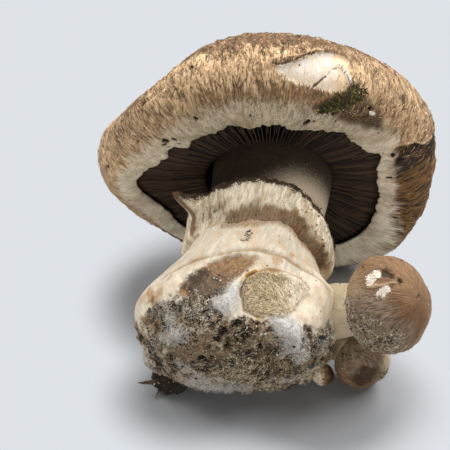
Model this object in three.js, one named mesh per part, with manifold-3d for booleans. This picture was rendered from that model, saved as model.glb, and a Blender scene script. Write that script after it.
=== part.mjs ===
// A portobello mushroom lying on its side, as picked: the open cap stands on its rim, and the swollen
// foot of the stem rests in front of it, with the young mushrooms and the soil that came up with it.
// Millimetres, +Z up. The origin is on the table, under the middle of the whole cluster. +X is to the
// right of the stem, and +Y points from the foot to the cap.
//
// The grown mushroom is shaped in a leaning frame of its own, whose Z is the cap's axis: level 0 is
// where the cap is widest, the dome is above it and the stem hangs below it. Angles turn round that
// axis: 0 is the mushroom's right, 90 the side that lies on the table, 180 the left, and -90 the side
// that faces up. The young mushrooms are shaped upright and then leaned and put in place.

import * as THREE from "three";
import { mergeVertices } from "three/addons/utils/BufferGeometryUtils.js";
import Module from "manifold-3d";

const wasm = await Module();
wasm.setup();

// Where the grown mushroom lies, and the clearance between pieces that touch.
const CAP_PLACE = [0, 18.6, 45.6]; // the middle of the cap's widest level
const CAP_LEAN = 65; // degrees from upright, towards +Y
const GAP = 0.35;

// The cap.
const CAP_RADIUS = 50; // at the widest level
const DOME_HEIGHT = 27;
const MARGIN_DEPTH = 11; // from the widest level to the lowest part of the rolled margin
const MARGIN_RADIUS = 37; // of that lowest part
const LOBE_CORE_LEVEL = -8; // swellings push away from this point of the axis
const CROWN_RADIUS = 30; // the swellings fade out within this of the top of the dome
const MARGIN_BAND = 6; // over which they fade in, outwards from the lowest part of the margin
// How the cap leaves the round: where each swelling or hollow is, how far it reaches, in degrees and
// millimetres, and how far it pushes the skin out.
const CAP_LOBES = [
  { angle: -144, level: 14, halfWidth: 24, halfHeight: 12, size: -5.2 },
  { angle: -12, level: 12, halfWidth: 24, halfHeight: 12, size: 1.2 },
  { angle: 46, level: -6, halfWidth: 28, halfHeight: 12, size: 7.5 },
  { angle: 138, level: -6, halfWidth: 28, halfHeight: 12, size: -4.4 },
  { angle: 180, level: -2, halfWidth: 20, halfHeight: 12, size: 1.2 },
];

// The hollow under the cap, which the gills fill up to their free edges.
const MOUTH_RADIUS = 34;
const LIP_WIDTH = 1; // of the flat edge between the mouth and the margin
const MOUTH_LEVEL = -9.6;
const CHAMBER_RADIUS = 41;
const CHAMBER_LEVEL = -1.5; // where the hollow is widest
const GILL_ROOT_LEVEL = 1;
const GILL_EDGE_LEVEL = -7; // beside the stem
const GILL_SET_BACK = 0.9; // of the gills from the mouth's edge
const GILL_BELLY = { radius: 28, level: -8.3 }; // where the free edges hang lowest
// How the mouth leaves the round: the torn places and the wide side on the table.
const MOUTH_LOBES = [
  { angle: -174, halfWidth: 13, size: 4 },
  { angle: -92, halfWidth: 38, size: -2.4 },
  { angle: -29, halfWidth: 8, size: 3.4 },
  { angle: 50, halfWidth: 26, size: 6 },
];
const CHAMBER_SHARE = 0.3; // how much of a mouth lobe the widest part of the hollow follows

// The stem, from its end inside the cap down to the foot. side and down are how far its middle is
// from the cap's axis, towards the left (negative) and towards the table.
const STEM_ROWS = [
  { level: 3.2, radius: 17.4, side: 1.1, down: 0 },
  { level: -7, radius: 17.8, side: 1.1, down: 0 },
  { level: -14, radius: 17.6, side: 0.2, down: 0 },
  { level: -22, radius: 17.8, side: -2, down: 0 },
  { level: -29, radius: 18.6, side: -3.6, down: 0 },
  { level: -36, radius: 19.4, side: -5, down: 0.3 },
  { level: -43, radius: 21.2, side: -8, down: 0.8 },
  { level: -52, radius: 22.4, side: -11.6, down: 1.4 },
  { level: -60, radius: 21.8, side: -11.8, down: 1.6 },
  { level: -66, radius: 19.3, side: -11, down: 1.4 },
  { level: -70, radius: 14.5, side: -10, down: 0.4 },
  { level: -72, radius: 8, side: -9.5, down: -0.6 },
];
const FOOT_TIP_LEVEL = -73;
const FOOT_LOBES = [
  { angle: 185, level: -52, halfWidth: 40, halfHeight: 9, size: 3.2 },
  { angle: 5, level: -58, halfWidth: 40, halfHeight: 10, size: 7 },
  { angle: -5, level: -50, halfWidth: 30, halfHeight: 6, size: 5.2 },
  { angle: 50, level: -63, halfWidth: 32, halfHeight: 9, size: 6 },
  { angle: 148, level: -64, halfWidth: 24, halfHeight: 8, size: 2.6 },
  { angle: 98, level: -70, halfWidth: 34, halfHeight: 7, size: -2.8 },
];

// The ring: the torn veil, a collar that stands away from the stem at its rim.
const RING_ROOT_LEVEL = -37;
const RING_RIM_LEVEL = -20.5; // on the left
const RING_TILT = 5; // how much lower the rim is on the right
const RING_RIM_RADIUS = 21.8;
const RING_ROOT_RADIUS = 20.8;
const RING_ROOT_SIDE = 1.3; // how far the root is right of the stem's middle
const RING_THICKNESS = 1.7;

// The soil that clings to the foot: a skin on everything in front of and below a slanting plane,
// down to just above the table.
const CRUST_THICKNESS = 1;
const CRUST_EDGE_PLACE = [-8.7, -45.6, 39];
const CRUST_EDGE_NORMAL = [0.26, 0.76, 0.6];
const CRUST_LOWEST = 1.6;

// The young mushrooms: an unopened cap on a stalk that grows out of the foot. Each axis points out of
// the top of its cap.
const LARGE_BUTTON = {
  place: [31.8, -35.2, 30],
  axis: [0.72, -0.5, 0.48],
  radius: 13.9,
  crown: 12.5,
  base: 8.5,
  stalkRadius: 8,
  stalkLength: 17,
  sides: 24,
};
const SMALL_BUTTON = {
  place: [26.2, -31.4, 8.3],
  axis: [0.7, -0.6, -0.2],
  radius: 8.6,
  crown: 7.6,
  base: 6.6,
  stalkRadius: 5,
  stalkLength: 9,
  sides: 20,
};
const PINHEAD = {
  place: [15.2, -33.6, 4.6],
  axis: [0.4, -0.85, 0.1],
  radius: 3.2,
  crown: 3.2,
  base: 2.6,
  stalkRadius: 2,
  stalkLength: 4,
  sides: 12,
};

const STALK_WAIST = 0.92; // the stalk's radius under the cap, as a share of its radius at the foot
const STALK_MEETS_CAP = -50; // degrees below the widest part of the young cap

// The clod of soil and roots under the foot's left, and the tuft of moss on the cap's margin.
const SOIL_CLOD = { place: [-28.2, -33.8, 3.4], axis: [0, 0, 1], radii: [5.6, 4.6, 4] };
const MOSS = { place: [19.2, -5.6, 80.6], axis: [0.26, -0.92, 0.3], radii: [7, 3.4, 2] };
const MOSS_TURN = 24; // degrees round its axis, which points away from the skin

// How finely each shape is faceted: flat sides round it, and steps along its outline.
const CAP_SIDES = 48;
const MARGIN_STEPS = 6;
const DOME_STEPS = 13;
const STEM_SIDES = 36;
const STEM_STEPS = 23;
const RING_STEPS = 4;
const BUTTON_UNDER_STEPS = 5;
const BUTTON_CROWN_STEPS = 7;
const LUMP_SIDES = 14;
const LUMP_RINGS = 9;

const SLAB = [300, 300, 120]; // a block big enough to cut everything below its top away
const MERGE_DISTANCE = 1e-4;
const DEGREES = Math.PI / 180;

const FINISHES = {
  cap: { color: 0xb08a62, roughness: 0.75 },
  gills: { color: 0x2c2019, roughness: 0.9 },
  stem: { color: 0xe2d2b8, roughness: 0.8 },
  ring: { color: 0xd8c8a8, roughness: 0.85 },
  large_button: { color: 0xb59a7a, roughness: 0.75 },
  small_button: { color: 0xa48a6a, roughness: 0.75 },
  pinhead: { color: 0xc9b79a, roughness: 0.8 },
  soil_clod: { color: 0x4a3c30, roughness: 1 },
  soil_crust: { color: 0x5d5348, roughness: 1 },
  moss_tuft: { color: 0x55602c, roughness: 0.9 },
};

// What a swelling adds at an angle and a level: all of its size in its middle, falling smoothly off.
// One with no level of its own runs the whole height.
function swelling(lobe, angle, level = lobe.level ?? 0) {
  const turn = (((angle - lobe.angle + 540) % 360) - 180) / lobe.halfWidth;
  const rise = (level - (lobe.level ?? level)) / (lobe.halfHeight ?? 1);
  return lobe.size * Math.exp(-turn * turn - rise * rise);
}

function swellings(lobes, angle, level) {
  return lobes.reduce((sum, lobe) => sum + swelling(lobe, angle, level), 0);
}

// A value of the stem at a level, on a smooth curve through the rows.
function alongStem(key, level) {
  const last = STEM_ROWS.length - 1;
  const next = STEM_ROWS.findIndex((row) => row.level < level);
  if (next === 0) return STEM_ROWS[0][key];
  if (next < 0) return STEM_ROWS[last][key];
  const slopeAt = (i) => {
    const above = STEM_ROWS[Math.max(i - 1, 0)];
    const below = STEM_ROWS[Math.min(i + 1, last)];
    return (below[key] - above[key]) / (below.level - above.level);
  };
  const [from, to] = [STEM_ROWS[next - 1], STEM_ROWS[next]];
  const span = to.level - from.level;
  const t = (level - from.level) / span;
  const ease = t * t * (3 - 2 * t);
  const bend = t * (1 - t) * ((1 - t) * slopeAt(next - 1) - t * slopeAt(next));
  return from[key] + (to[key] - from[key]) * ease + span * bend;
}

function solidOf(geometry) {
  const bare = geometry.clone();
  bare.deleteAttribute("normal");
  bare.deleteAttribute("uv");
  const merged = mergeVertices(bare, MERGE_DISTANCE);
  const vertProperties = new Float32Array(merged.getAttribute("position").array);
  const triVerts = new Uint32Array(merged.index.array);
  return new wasm.Manifold(new wasm.Mesh({ numProp: 3, vertProperties, triVerts }));
}

function geometryOf(solid) {
  const mesh = solid.getMesh();
  const geometry = new THREE.BufferGeometry();
  geometry.setAttribute("position", new THREE.BufferAttribute(new Float32Array(mesh.vertProperties), 3));
  geometry.setIndex(new THREE.BufferAttribute(new Uint32Array(mesh.triVerts), 1));
  geometry.computeVertexNormals();
  return geometry;
}

// Points of (radius, level), from the bottom up, turned round Z into a closed solid. place moves each
// vertex, given as (radius, level, angle), to its [x, y, z].
function turned(profile, sides, place) {
  const geometry = new THREE.LatheGeometry(
    profile.map(([radius, level]) => new THREE.Vector2(radius, level)),
    sides,
  );
  const position = geometry.getAttribute("position");
  for (let i = 0; i < position.count; i++) {
    const [sine, level, cosine] = [position.getX(i), position.getY(i), position.getZ(i)];
    const angle = Math.atan2(sine, cosine) / DEGREES;
    position.setXYZ(i, ...place(Math.hypot(sine, cosine), level, angle));
  }
  return solidOf(geometry);
}

function polar(radius, level, angle) {
  return [radius * Math.cos(angle * DEGREES), radius * Math.sin(angle * DEGREES), level];
}

// Part of an ellipse in the (radius, level) plane, both ends included.
function arc(middle, radii, from, to, steps) {
  return Array.from({ length: steps + 1 }, (_, i) => {
    const turn = (from + ((to - from) * i) / steps) * DEGREES;
    return [middle[0] + radii[0] * Math.cos(turn), middle[1] + radii[1] * Math.sin(turn)];
  });
}

// The cap with its hollow still closed, grown by extra.
function capBlank(extra = 0) {
  const profile = [
    [0, MOUTH_LEVEL],
    [MOUTH_RADIUS - LIP_WIDTH, MOUTH_LEVEL],
    ...arc([MARGIN_RADIUS, 0], [CAP_RADIUS - MARGIN_RADIUS, MARGIN_DEPTH], -90, 0, MARGIN_STEPS),
    ...arc([0, 0], [CAP_RADIUS, DOME_HEIGHT], 0, 90, DOME_STEPS).slice(1, -1),
    [0, DOME_HEIGHT],
  ];
  return turned(profile, CAP_SIDES, (radius, level, angle) => {
    const margin = level < 0 ? THREE.MathUtils.smoothstep(-radius, -CAP_RADIUS, -MARGIN_RADIUS) : 0;
    const skin = THREE.MathUtils.smoothstep(radius, MARGIN_RADIUS, MARGIN_RADIUS + MARGIN_BAND);
    const crown = THREE.MathUtils.smoothstep(radius, 0, CROWN_RADIUS);
    const outside = level > 0 ? crown : skin;
    const push = outside * (swellings(CAP_LOBES, angle, level) + extra);
    const share = push / Math.hypot(radius, level - LOBE_CORE_LEVEL);
    const spread = radius > 0 ? margin * swellings(MOUTH_LOBES, angle) : 0;
    return polar(radius * (1 + share) + spread, level + share * (level - LOBE_CORE_LEVEL), angle);
  });
}

// A ring-shaped or round solid that follows the outline of the cap's mouth.
function underCap(profile) {
  return turned(profile, CAP_SIDES, (radius, level, angle) => {
    const depth = THREE.MathUtils.smoothstep(-level, -CHAMBER_LEVEL, -MOUTH_LEVEL);
    const share = CHAMBER_SHARE + (1 - CHAMBER_SHARE) * depth;
    const outer = THREE.MathUtils.smoothstep(radius, GILL_BELLY.radius, MOUTH_RADIUS - LIP_WIDTH);
    return polar(radius + outer * share * swellings(MOUTH_LOBES, angle), level, angle);
  });
}

function capSolid() {
  const hollow = underCap([
    [0, -MARGIN_DEPTH - LIP_WIDTH],
    [MOUTH_RADIUS, -MARGIN_DEPTH - LIP_WIDTH],
    [MOUTH_RADIUS, MOUTH_LEVEL],
    [CHAMBER_RADIUS, CHAMBER_LEVEL],
    [CHAMBER_RADIUS, GILL_ROOT_LEVEL],
    [0, GILL_ROOT_LEVEL],
  ]);
  return capBlank().subtract(hollow).subtract(stemBlank(GAP));
}

function gillSolid() {
  const block = underCap([
    [0, GILL_EDGE_LEVEL],
    [STEM_ROWS[0].radius, GILL_EDGE_LEVEL],
    [GILL_BELLY.radius, GILL_BELLY.level],
    [MOUTH_RADIUS - GAP, MOUTH_LEVEL + GILL_SET_BACK],
    [CHAMBER_RADIUS - GAP, CHAMBER_LEVEL + GAP / 2],
    [CHAMBER_RADIUS - GAP, GILL_ROOT_LEVEL - GAP],
    [0, GILL_ROOT_LEVEL - GAP],
  ]);
  return block.subtract(stemBlank(GAP));
}

// The stem and its foot, grown by extra.
function stemBlank(extra = 0) {
  const [top, foot] = [STEM_ROWS[0], STEM_ROWS[STEM_ROWS.length - 1]];
  const profile = [[0, FOOT_TIP_LEVEL - extra]];
  for (let i = 0; i <= STEM_STEPS; i++) {
    const level = foot.level + ((top.level + extra - foot.level) * i) / STEM_STEPS;
    profile.push([alongStem("radius", level), level]);
  }
  profile.push([0, top.level + extra]);
  return turned(profile, STEM_SIDES, (radius, level, angle) => {
    const swollen = radius > 0 ? radius + extra + swellings(FOOT_LOBES, angle, level) : 0;
    const [x, y, z] = polar(swollen, level, angle);
    return [x + alongStem("side", level), y + alongStem("down", level), z];
  });
}

function ringSolid() {
  const height = RING_RIM_LEVEL - RING_ROOT_LEVEL;
  const flare = RING_RIM_RADIUS - RING_ROOT_RADIUS;
  const outside = Array.from({ length: RING_STEPS + 1 }, (_, i) => {
    const up = i / RING_STEPS;
    return [RING_ROOT_RADIUS + flare * up * up, RING_ROOT_LEVEL + height * up];
  });
  const inside = outside.map(([radius, level]) => [radius - RING_THICKNESS, level]).reverse();
  const collar = turned([...outside, ...inside, outside[0]], STEM_SIDES, (radius, level, angle) => {
    const up = (level - RING_ROOT_LEVEL) / height;
    const tilted = level - (up * RING_TILT * (1 + Math.cos(angle * DEGREES))) / 2;
    const [x, y, z] = polar(radius, tilted, angle);
    const side = alongStem("side", tilted) + RING_ROOT_SIDE * (1 - up);
    return [x + side, y + alongStem("down", tilted), z];
  });
  return collar.subtract(stemBlank(GAP));
}

// A young mushroom, upright, with the widest part of its cap at level 0, grown by extra.
function buttonSolid(button, extra = 0) {
  const [radius, stalk] = [button.radius + extra, button.stalkRadius + extra];
  const [crown, base] = [button.crown + extra, button.base + extra];
  const profile = [
    [0, -base - button.stalkLength],
    [stalk, -base - button.stalkLength],
    [stalk * STALK_WAIST, -base],
    ...arc([0, 0], [radius, base], STALK_MEETS_CAP, 0, BUTTON_UNDER_STEPS),
    ...arc([0, 0], [radius, crown], 0, 90, BUTTON_CROWN_STEPS).slice(1, -1),
    [0, crown],
  ];
  return turned(profile, button.sides, polar);
}

// A rounded lump, grown by extra.
function lumpSolid(lump, extra = 0) {
  const grown = lump.radii.map((radius) => radius + extra);
  return solidOf(new THREE.SphereGeometry(1, LUMP_SIDES, LUMP_RINGS).scale(...grown));
}

// The frames: the whole cluster on the table, and in it the leaning frame of the grown mushroom.
const cluster = new THREE.Group();
const leaning = new THREE.Group();
leaning.position.set(...CAP_PLACE);
leaning.rotation.x = -CAP_LEAN * DEGREES;
cluster.add(leaning);

// A frame on the table whose Z points along axis.
function frameAt(place, axis = [0, 0, 1]) {
  const frame = new THREE.Group();
  frame.position.set(...place);
  frame.quaternion.setFromUnitVectors(new THREE.Vector3(0, 0, 1), new THREE.Vector3(...axis).normalize());
  cluster.add(frame);
  return frame;
}

// A solid of one frame, as another frame sees it.
function seenFrom(frame, home, solid) {
  cluster.updateMatrixWorld(true);
  return solid.transform(frame.matrixWorld.clone().invert().multiply(home.matrixWorld).elements);
}

function slabBelow(height) {
  return solidOf(new THREE.BoxGeometry(...SLAB).translate(0, 0, height - SLAB[2] / 2));
}

function addPiece(frame, name, solid) {
  const resting = solid.subtract(seenFrom(frame, cluster, slabBelow(0)));
  const material = new THREE.MeshStandardMaterial({ ...FINISHES[name], metalness: 0 });
  const mesh = new THREE.Mesh(geometryOf(resting), material);
  mesh.name = name;
  frame.add(mesh);
}

// The grown mushroom.
addPiece(leaning, "cap", capSolid());
addPiece(leaning, "gills", gillSolid());
addPiece(leaning, "stem", stemBlank());
addPiece(leaning, "ring", ringSolid());

// What grows out of the foot or clings to it. Each is cut to the foot's skin and to the ones before
// it, and the soil lies round them all.
const clinging = [
  { name: "large_button", shape: buttonSolid, sizes: LARGE_BUTTON },
  { name: "small_button", shape: buttonSolid, sizes: SMALL_BUTTON },
  { name: "pinhead", shape: buttonSolid, sizes: PINHEAD },
  { name: "soil_clod", shape: lumpSolid, sizes: SOIL_CLOD },
];
const crustFrame = frameAt(CRUST_EDGE_PLACE, CRUST_EDGE_NORMAL);
let crust = stemBlank(GAP + CRUST_THICKNESS).subtract(stemBlank(GAP));
crust = crust.intersect(seenFrom(leaning, crustFrame, slabBelow(0)));
crust = crust.subtract(seenFrom(leaning, cluster, slabBelow(CRUST_LOWEST)));
const taken = [{ frame: leaning, solid: stemBlank(GAP) }];
for (const { name, shape, sizes } of clinging) {
  const frame = frameAt(sizes.place, sizes.axis);
  const grown = shape(sizes, GAP);
  const cut = taken.reduce((solid, by) => solid.subtract(seenFrom(frame, by.frame, by.solid)), shape(sizes));
  addPiece(frame, name, cut);
  taken.push({ frame, solid: grown });
  crust = crust.subtract(seenFrom(leaning, frame, grown));
}
addPiece(leaning, "soil_crust", crust);

const mossFrame = frameAt(MOSS.place, MOSS.axis);
mossFrame.rotateZ(MOSS_TURN * DEGREES);
const tuft = lumpSolid(MOSS).subtract(seenFrom(mossFrame, leaning, capBlank(GAP)));
addPiece(mossFrame, "moss_tuft", tuft);

export default cluster;
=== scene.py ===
"""A portobello mushroom lying on its side, with the young mushrooms, soil and moss that came up with it.

The grown mushroom is shaped in a leaning frame whose Z is the cap's axis: level 0 is where the cap is
widest, the dome is above it and the stem hangs below it. Angles turn round that axis: 0 is the
mushroom's right, 90 the side on the table, 180 the left and -90 the side that faces up. Shapes are made
in millimetres, and put in their place in metres.
"""

import math
from itertools import product
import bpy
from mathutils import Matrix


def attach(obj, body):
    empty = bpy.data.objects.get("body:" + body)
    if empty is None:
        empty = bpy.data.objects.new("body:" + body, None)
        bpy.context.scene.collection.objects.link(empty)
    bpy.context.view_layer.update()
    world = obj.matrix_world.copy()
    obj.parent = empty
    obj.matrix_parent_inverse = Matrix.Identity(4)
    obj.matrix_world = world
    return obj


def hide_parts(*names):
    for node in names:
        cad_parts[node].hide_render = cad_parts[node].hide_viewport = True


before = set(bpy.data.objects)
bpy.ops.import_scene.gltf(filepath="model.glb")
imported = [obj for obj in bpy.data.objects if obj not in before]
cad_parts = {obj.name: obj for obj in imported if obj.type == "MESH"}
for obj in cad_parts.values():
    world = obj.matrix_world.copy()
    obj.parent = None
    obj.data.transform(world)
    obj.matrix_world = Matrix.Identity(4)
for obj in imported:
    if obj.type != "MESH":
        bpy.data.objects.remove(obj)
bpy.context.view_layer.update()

from types import SimpleNamespace

import bmesh
import bpy
import numpy as np
from bpy.props import FloatProperty, FloatVectorProperty, IntProperty, PointerProperty
from mathutils import Color, Matrix, Vector

bl_info = {
    "name": "Portobello mushroom",
    "version": (1, 0, 0),
    "blender": (4, 5, 0),
    "location": "3D View > Sidebar > Mushroom",
    "description": "Builds a picked portobello mushroom piece by piece",
    "category": "Add Mesh",
}

MM = 0.001
BODY = "root"
FAR_OUT = -9.0  # how deep inside anything a point is that is nowhere near it

# Where the grown mushroom lies.
CAP_PLACE = (0, 18.6, 45.6)
CAP_LEAN = 65  # degrees from upright
LEANING = Matrix.Translation(CAP_PLACE) @ Matrix.Rotation(-math.radians(CAP_LEAN), 4, "X")

# The cap. A swelling is (angle, level, half its width in degrees, half its height, how far it pushes).
CAP_RADIUS = 50
DOME_HEIGHT = 27
MARGIN_DEPTH = 11
MARGIN_RADIUS = 37
LOBE_CORE_LEVEL = -8
CROWN_RADIUS = 30
MARGIN_BAND = 6
CAP_LOBES = (
    (-144, 14, 22, 12, -7.4),
    (-12, 12, 24, 12, 1.2),
    (46, -6, 28, 12, 7.5),
    (138, -6, 28, 12, -4.4),
    (180, -2, 20, 12, 1.2),
)

# The hollow under the cap.
MOUTH_RADIUS = 34
MOUTH_LEVEL = -9.6
CHAMBER_RADIUS = 41
CHAMBER_LEVEL = -1.5
ROOF_LEVEL = 1
GILL_STARTS = (17.2, 21.5, 17.2, 26.5)  # the radius where each of four blades in turn begins
GILL_BELLY_RADIUS = 28
GILL_EDGE_LEVELS = (-7, -8.4, -1.2)  # where a blade begins, at its belly, and at the wall
GILL_SEED = 7
CHAMBER_SHARE = 0.3
MOUTH_LOBES = ((-176, 14, 5.6), (-92, 38, -2.4), (-29, 8, 3.4), (50, 26, 6))
MOUTH_NICKS = (
    (-139, 2.5, -2),
    (-147, 4, 0.8),
    (-111, 5, 1),
    (-101, 4, -0.8),
    (-76, 7, -1.5),
    (-54, 4, 2),
    (-33, 4, -1.8),
    (-5, 14, -1.1),
    (155, 8, -0.8),
)

# The stem: level, radius, and how far its middle is from the cap's axis, sideways and down.
STEM_ROWS = (
    (3.2, 17.4, 1.1, 0),
    (-7, 17.8, 1.1, 0),
    (-14, 17.6, 0.2, 0),
    (-22, 17.8, -2, 0),
    (-29, 18.6, -3.6, 0),
    (-36, 19.4, -5, 0.3),
    (-43, 21.2, -8, 0.8),
    (-52, 22.4, -11.6, 1.4),
    (-60, 21.8, -11.8, 1.6),
    (-66, 19.3, -11, 1.4),
    (-70, 14.5, -10, 0.4),
    (-72, 8, -9.5, -0.6),
)
FOOT_TIP_LEVEL = -73
STEM_GIRTH = 21  # the radius at which the patterns of the stem and its ring have their size
FOOT_LOBES = (
    (185, -52, 40, 9, 4.4),
    (5, -58, 40, 10, 7),
    (-5, -50, 30, 6, 5.2),
    (50, -63, 32, 9, 6),
    (148, -64, 24, 8, 2.6),
    (98, -70, 34, 7, -2.8),
)


# --------------------
# Numbers over a surface


def smooth(value, low, high):
    """0 below low and 1 above high, with a smooth rise between."""
    share = np.clip((value - low) / (high - low), 0, 1)
    return share * share * (3 - 2 * share)


def turn_between(angle, other):
    """The shortest turn from one angle to another, in degrees."""
    return (angle - other + 180) % 360 - 180


def hump(off, width):
    """1 where off is 0, falling smoothly to nothing."""
    return np.exp(-((off / width) ** 2))


def swellings(lobes, angle, level):
    """The sum of some swellings, each given as (angle, level, half its width, half its height, size)."""
    total = 0
    for at, up, wide, high, size in lobes:
        turn, rise = turn_between(angle, at) / wide, (level - up) / high
        total = total + size * np.exp(-turn * turn - rise * rise)
    return total


def nicks(lobes, angle):
    """The sum of swellings that run the whole height, given as (angle, half its width, size)."""
    return sum(size * hump(turn_between(angle, at), wide) for at, wide, size in lobes)


def lattice(cell, seed):
    """A random number from -1 to 1 for each whole-numbered cell."""
    key = cell @ np.array([73856093, 19349663, 83492791]) + seed * 7919
    key = (key ^ (key >> 13)) * 1274126177
    key = (key ^ (key >> 16)) & 0xFFFFFF
    return key / 0x7FFFFF - 1


def noise(points, size, seed, octaves=1):
    """Smooth random numbers, about -1 to 1, with lumps of about that size and finer ones on them."""
    total = 0
    for octave in range(octaves):
        place = points * (2**octave / np.asarray(size, float)) + 0.37 * seed
        corner = np.floor(place).astype(np.int64)
        part = place - corner
        ease = part * part * (3 - 2 * part)
        for offset in product((0, 1), repeat=3):
            share = np.prod(np.where(offset, ease, 1 - ease), axis=-1)
            total = total + share * lattice(corner + offset, seed + octave) / 2**octave
    return total


def crumbs(points, size, seed):
    """How far each point is from the nearest of many scattered ones, as a share of size."""
    place = points / np.asarray(size, float)
    corner = np.floor(place).astype(np.int64)
    nearest = np.full(len(points), 9.0)
    for offset in product((-1, 0, 1), repeat=3):
        cell = corner + offset
        heart = cell + 0.5 + 0.45 * np.stack([lattice(cell, seed + k) for k in range(3)], axis=-1)
        nearest = np.minimum(nearest, np.linalg.norm(place - heart, axis=-1))
    return nearest


def flattened(angle, along, route, radius):
    """A surface and a route of (angle, along) points unrolled to millimetres, near the route."""
    middle = route[len(route) // 2][0]
    per_degree = math.radians(1) * radius
    surface = np.stack([turn_between(angle, middle) * per_degree, along], axis=-1)
    drawn = np.array([(turn_between(a, middle) * per_degree, b) for a, b in route])
    return surface, drawn


def from_line(surface, drawn):
    """The distance from a drawn line, in millimetres."""
    nearest = np.full(len(surface), np.inf)
    for start, end in zip(drawn, drawn[1:]):
        span = end - start
        share = np.clip((surface - start) @ span / (span @ span), 0, 1)
        nearest = np.minimum(nearest, np.linalg.norm(surface - start - share[:, None] * span, axis=-1))
    return nearest


def line_distance(angle, along, route, radius):
    return from_line(*flattened(angle, along, route, radius))


def inside(angle, along, outline, radius):
    """How deep inside a closed outline each point is, in millimetres; negative outside."""
    surface, drawn = flattened(angle, along, outline, radius)
    closed = np.vstack([drawn, drawn[:1]])
    within = np.zeros(len(surface), bool)
    for (x0, y0), (x1, y1) in zip(closed, closed[1:]):
        if y0 != y1:
            crosses = (surface[:, 1] < y0) != (surface[:, 1] < y1)
            within ^= crosses & (surface[:, 0] < x0 + (surface[:, 1] - y0) * (x1 - x0) / (y1 - y0))
    return from_line(surface, closed) * np.where(within, 1, -1)


def spots(angle, along, rows, radius, swell=1):
    """How deep inside the deepest of some round spots, given as (angle, along, half their width)."""
    depth = np.full(len(angle), FAR_OUT)
    for at, up, wide in rows:
        off = np.hypot(turn_between(angle, at) * math.radians(1) * radius, along - up)
        depth = np.maximum(depth, wide * swell - off)
    return depth


def balls(places, rows, rough=0, size=1, seed=0):
    """How deep inside the deepest of some balls, given as (x, y, z, radius), with a rough surface."""
    depths = [radius - np.linalg.norm(places - np.array(middle), axis=1) for *middle, radius in rows]
    return np.max(depths, axis=0) + (rough * noise(places, size, seed, 2) if rough else 0)


# --------------------
# Outlines of (radius, level) points


def arc(middle, radii, start, end, steps):
    """Part of an ellipse, between two angles in degrees."""
    turns = np.radians(np.linspace(start, end, steps + 1))
    return np.stack([middle[0] + radii[0] * np.cos(turns), middle[1] + radii[1] * np.sin(turns)], axis=-1)


def through(points, steps):
    """A smooth curve through the points, with that many steps between each two."""
    rows = np.array([points[0], *points, points[-1]], float)
    curve = []
    for a, b, c, d in zip(rows, rows[1:], rows[2:], rows[3:]):
        t = np.arange(steps)[:, None] / steps
        bend, twist = 2 * a - 5 * b + 4 * c - d, 3 * b - a - 3 * c + d
        curve.append(b + (c - a) * t / 2 + bend * t**2 / 2 + twist * t**3 / 2)
    return np.vstack([*curve, rows[-1:]])


def joined(*parts):
    """Parts that meet end to end as one outline, with the shared points kept once."""
    return np.vstack([parts[0], *[part[1:] for part in parts[1:]]])


# --------------------
# Meshes


class Shape:
    """A mesh that is being shaped in its own upright frame, in millimetres."""

    def __init__(self, bm):
        bmesh.ops.recalc_face_normals(bm, faces=bm.faces)
        self.mesh = bpy.data.meshes.new("shape")
        bm.to_mesh(self.mesh)
        bm.free()
        self.count = len(self.mesh.vertices)

    def read(self, data, name, width=1):
        values = np.empty(self.count * width, np.float32)
        data.foreach_get(name, values)
        return values.reshape(-1, width).astype(float) if width > 1 else values.astype(float)

    @property
    def points(self):
        return self.read(self.mesh.vertices, "co", 3)

    @points.setter
    def points(self, places):
        self.mesh.vertices.foreach_set("co", places.astype(np.float32).ravel())
        self.mesh.update()

    @property
    def normals(self):
        return self.read(self.mesh.vertex_normals, "vector", 3)

    def push(self, amount):
        """Moves every point along its normal."""
        self.points = self.points + self.normals * np.asarray(amount)[:, None]

    def number(self, name):
        return self.read(self.mesh.attributes[name].data, "value")

    def paint(self, **fields):
        """Keeps numbers or vectors on each point, by name, for the finish to read."""
        for name, values in fields.items():
            kind, field = ("FLOAT_VECTOR", "vector") if np.ndim(values) == 2 else ("FLOAT", "value")
            attribute = self.mesh.attributes.new(name, kind, "POINT")
            attribute.data.foreach_set(field, np.asarray(values, np.float32).ravel())

    def put(self, name, place, material, slot, stands_for=()):
        """Makes the shape a piece, turned and moved by place, in metres, and flat where it lies."""
        self.mesh.transform(Matrix.Scale(MM, 4) @ place)
        resting = self.points
        resting[:, 2] = np.maximum(resting[:, 2], 0)
        self.points = resting
        self.mesh.name = name
        self.mesh.polygons.foreach_set("use_smooth", [True] * len(self.mesh.polygons))
        self.mesh.materials.append(material)
        piece = bpy.data.objects.new(name, self.mesh)
        bpy.context.scene.collection.objects.link(piece)
        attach(piece, BODY)
        if stands_for:
            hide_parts(*stands_for)
        return piece


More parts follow.
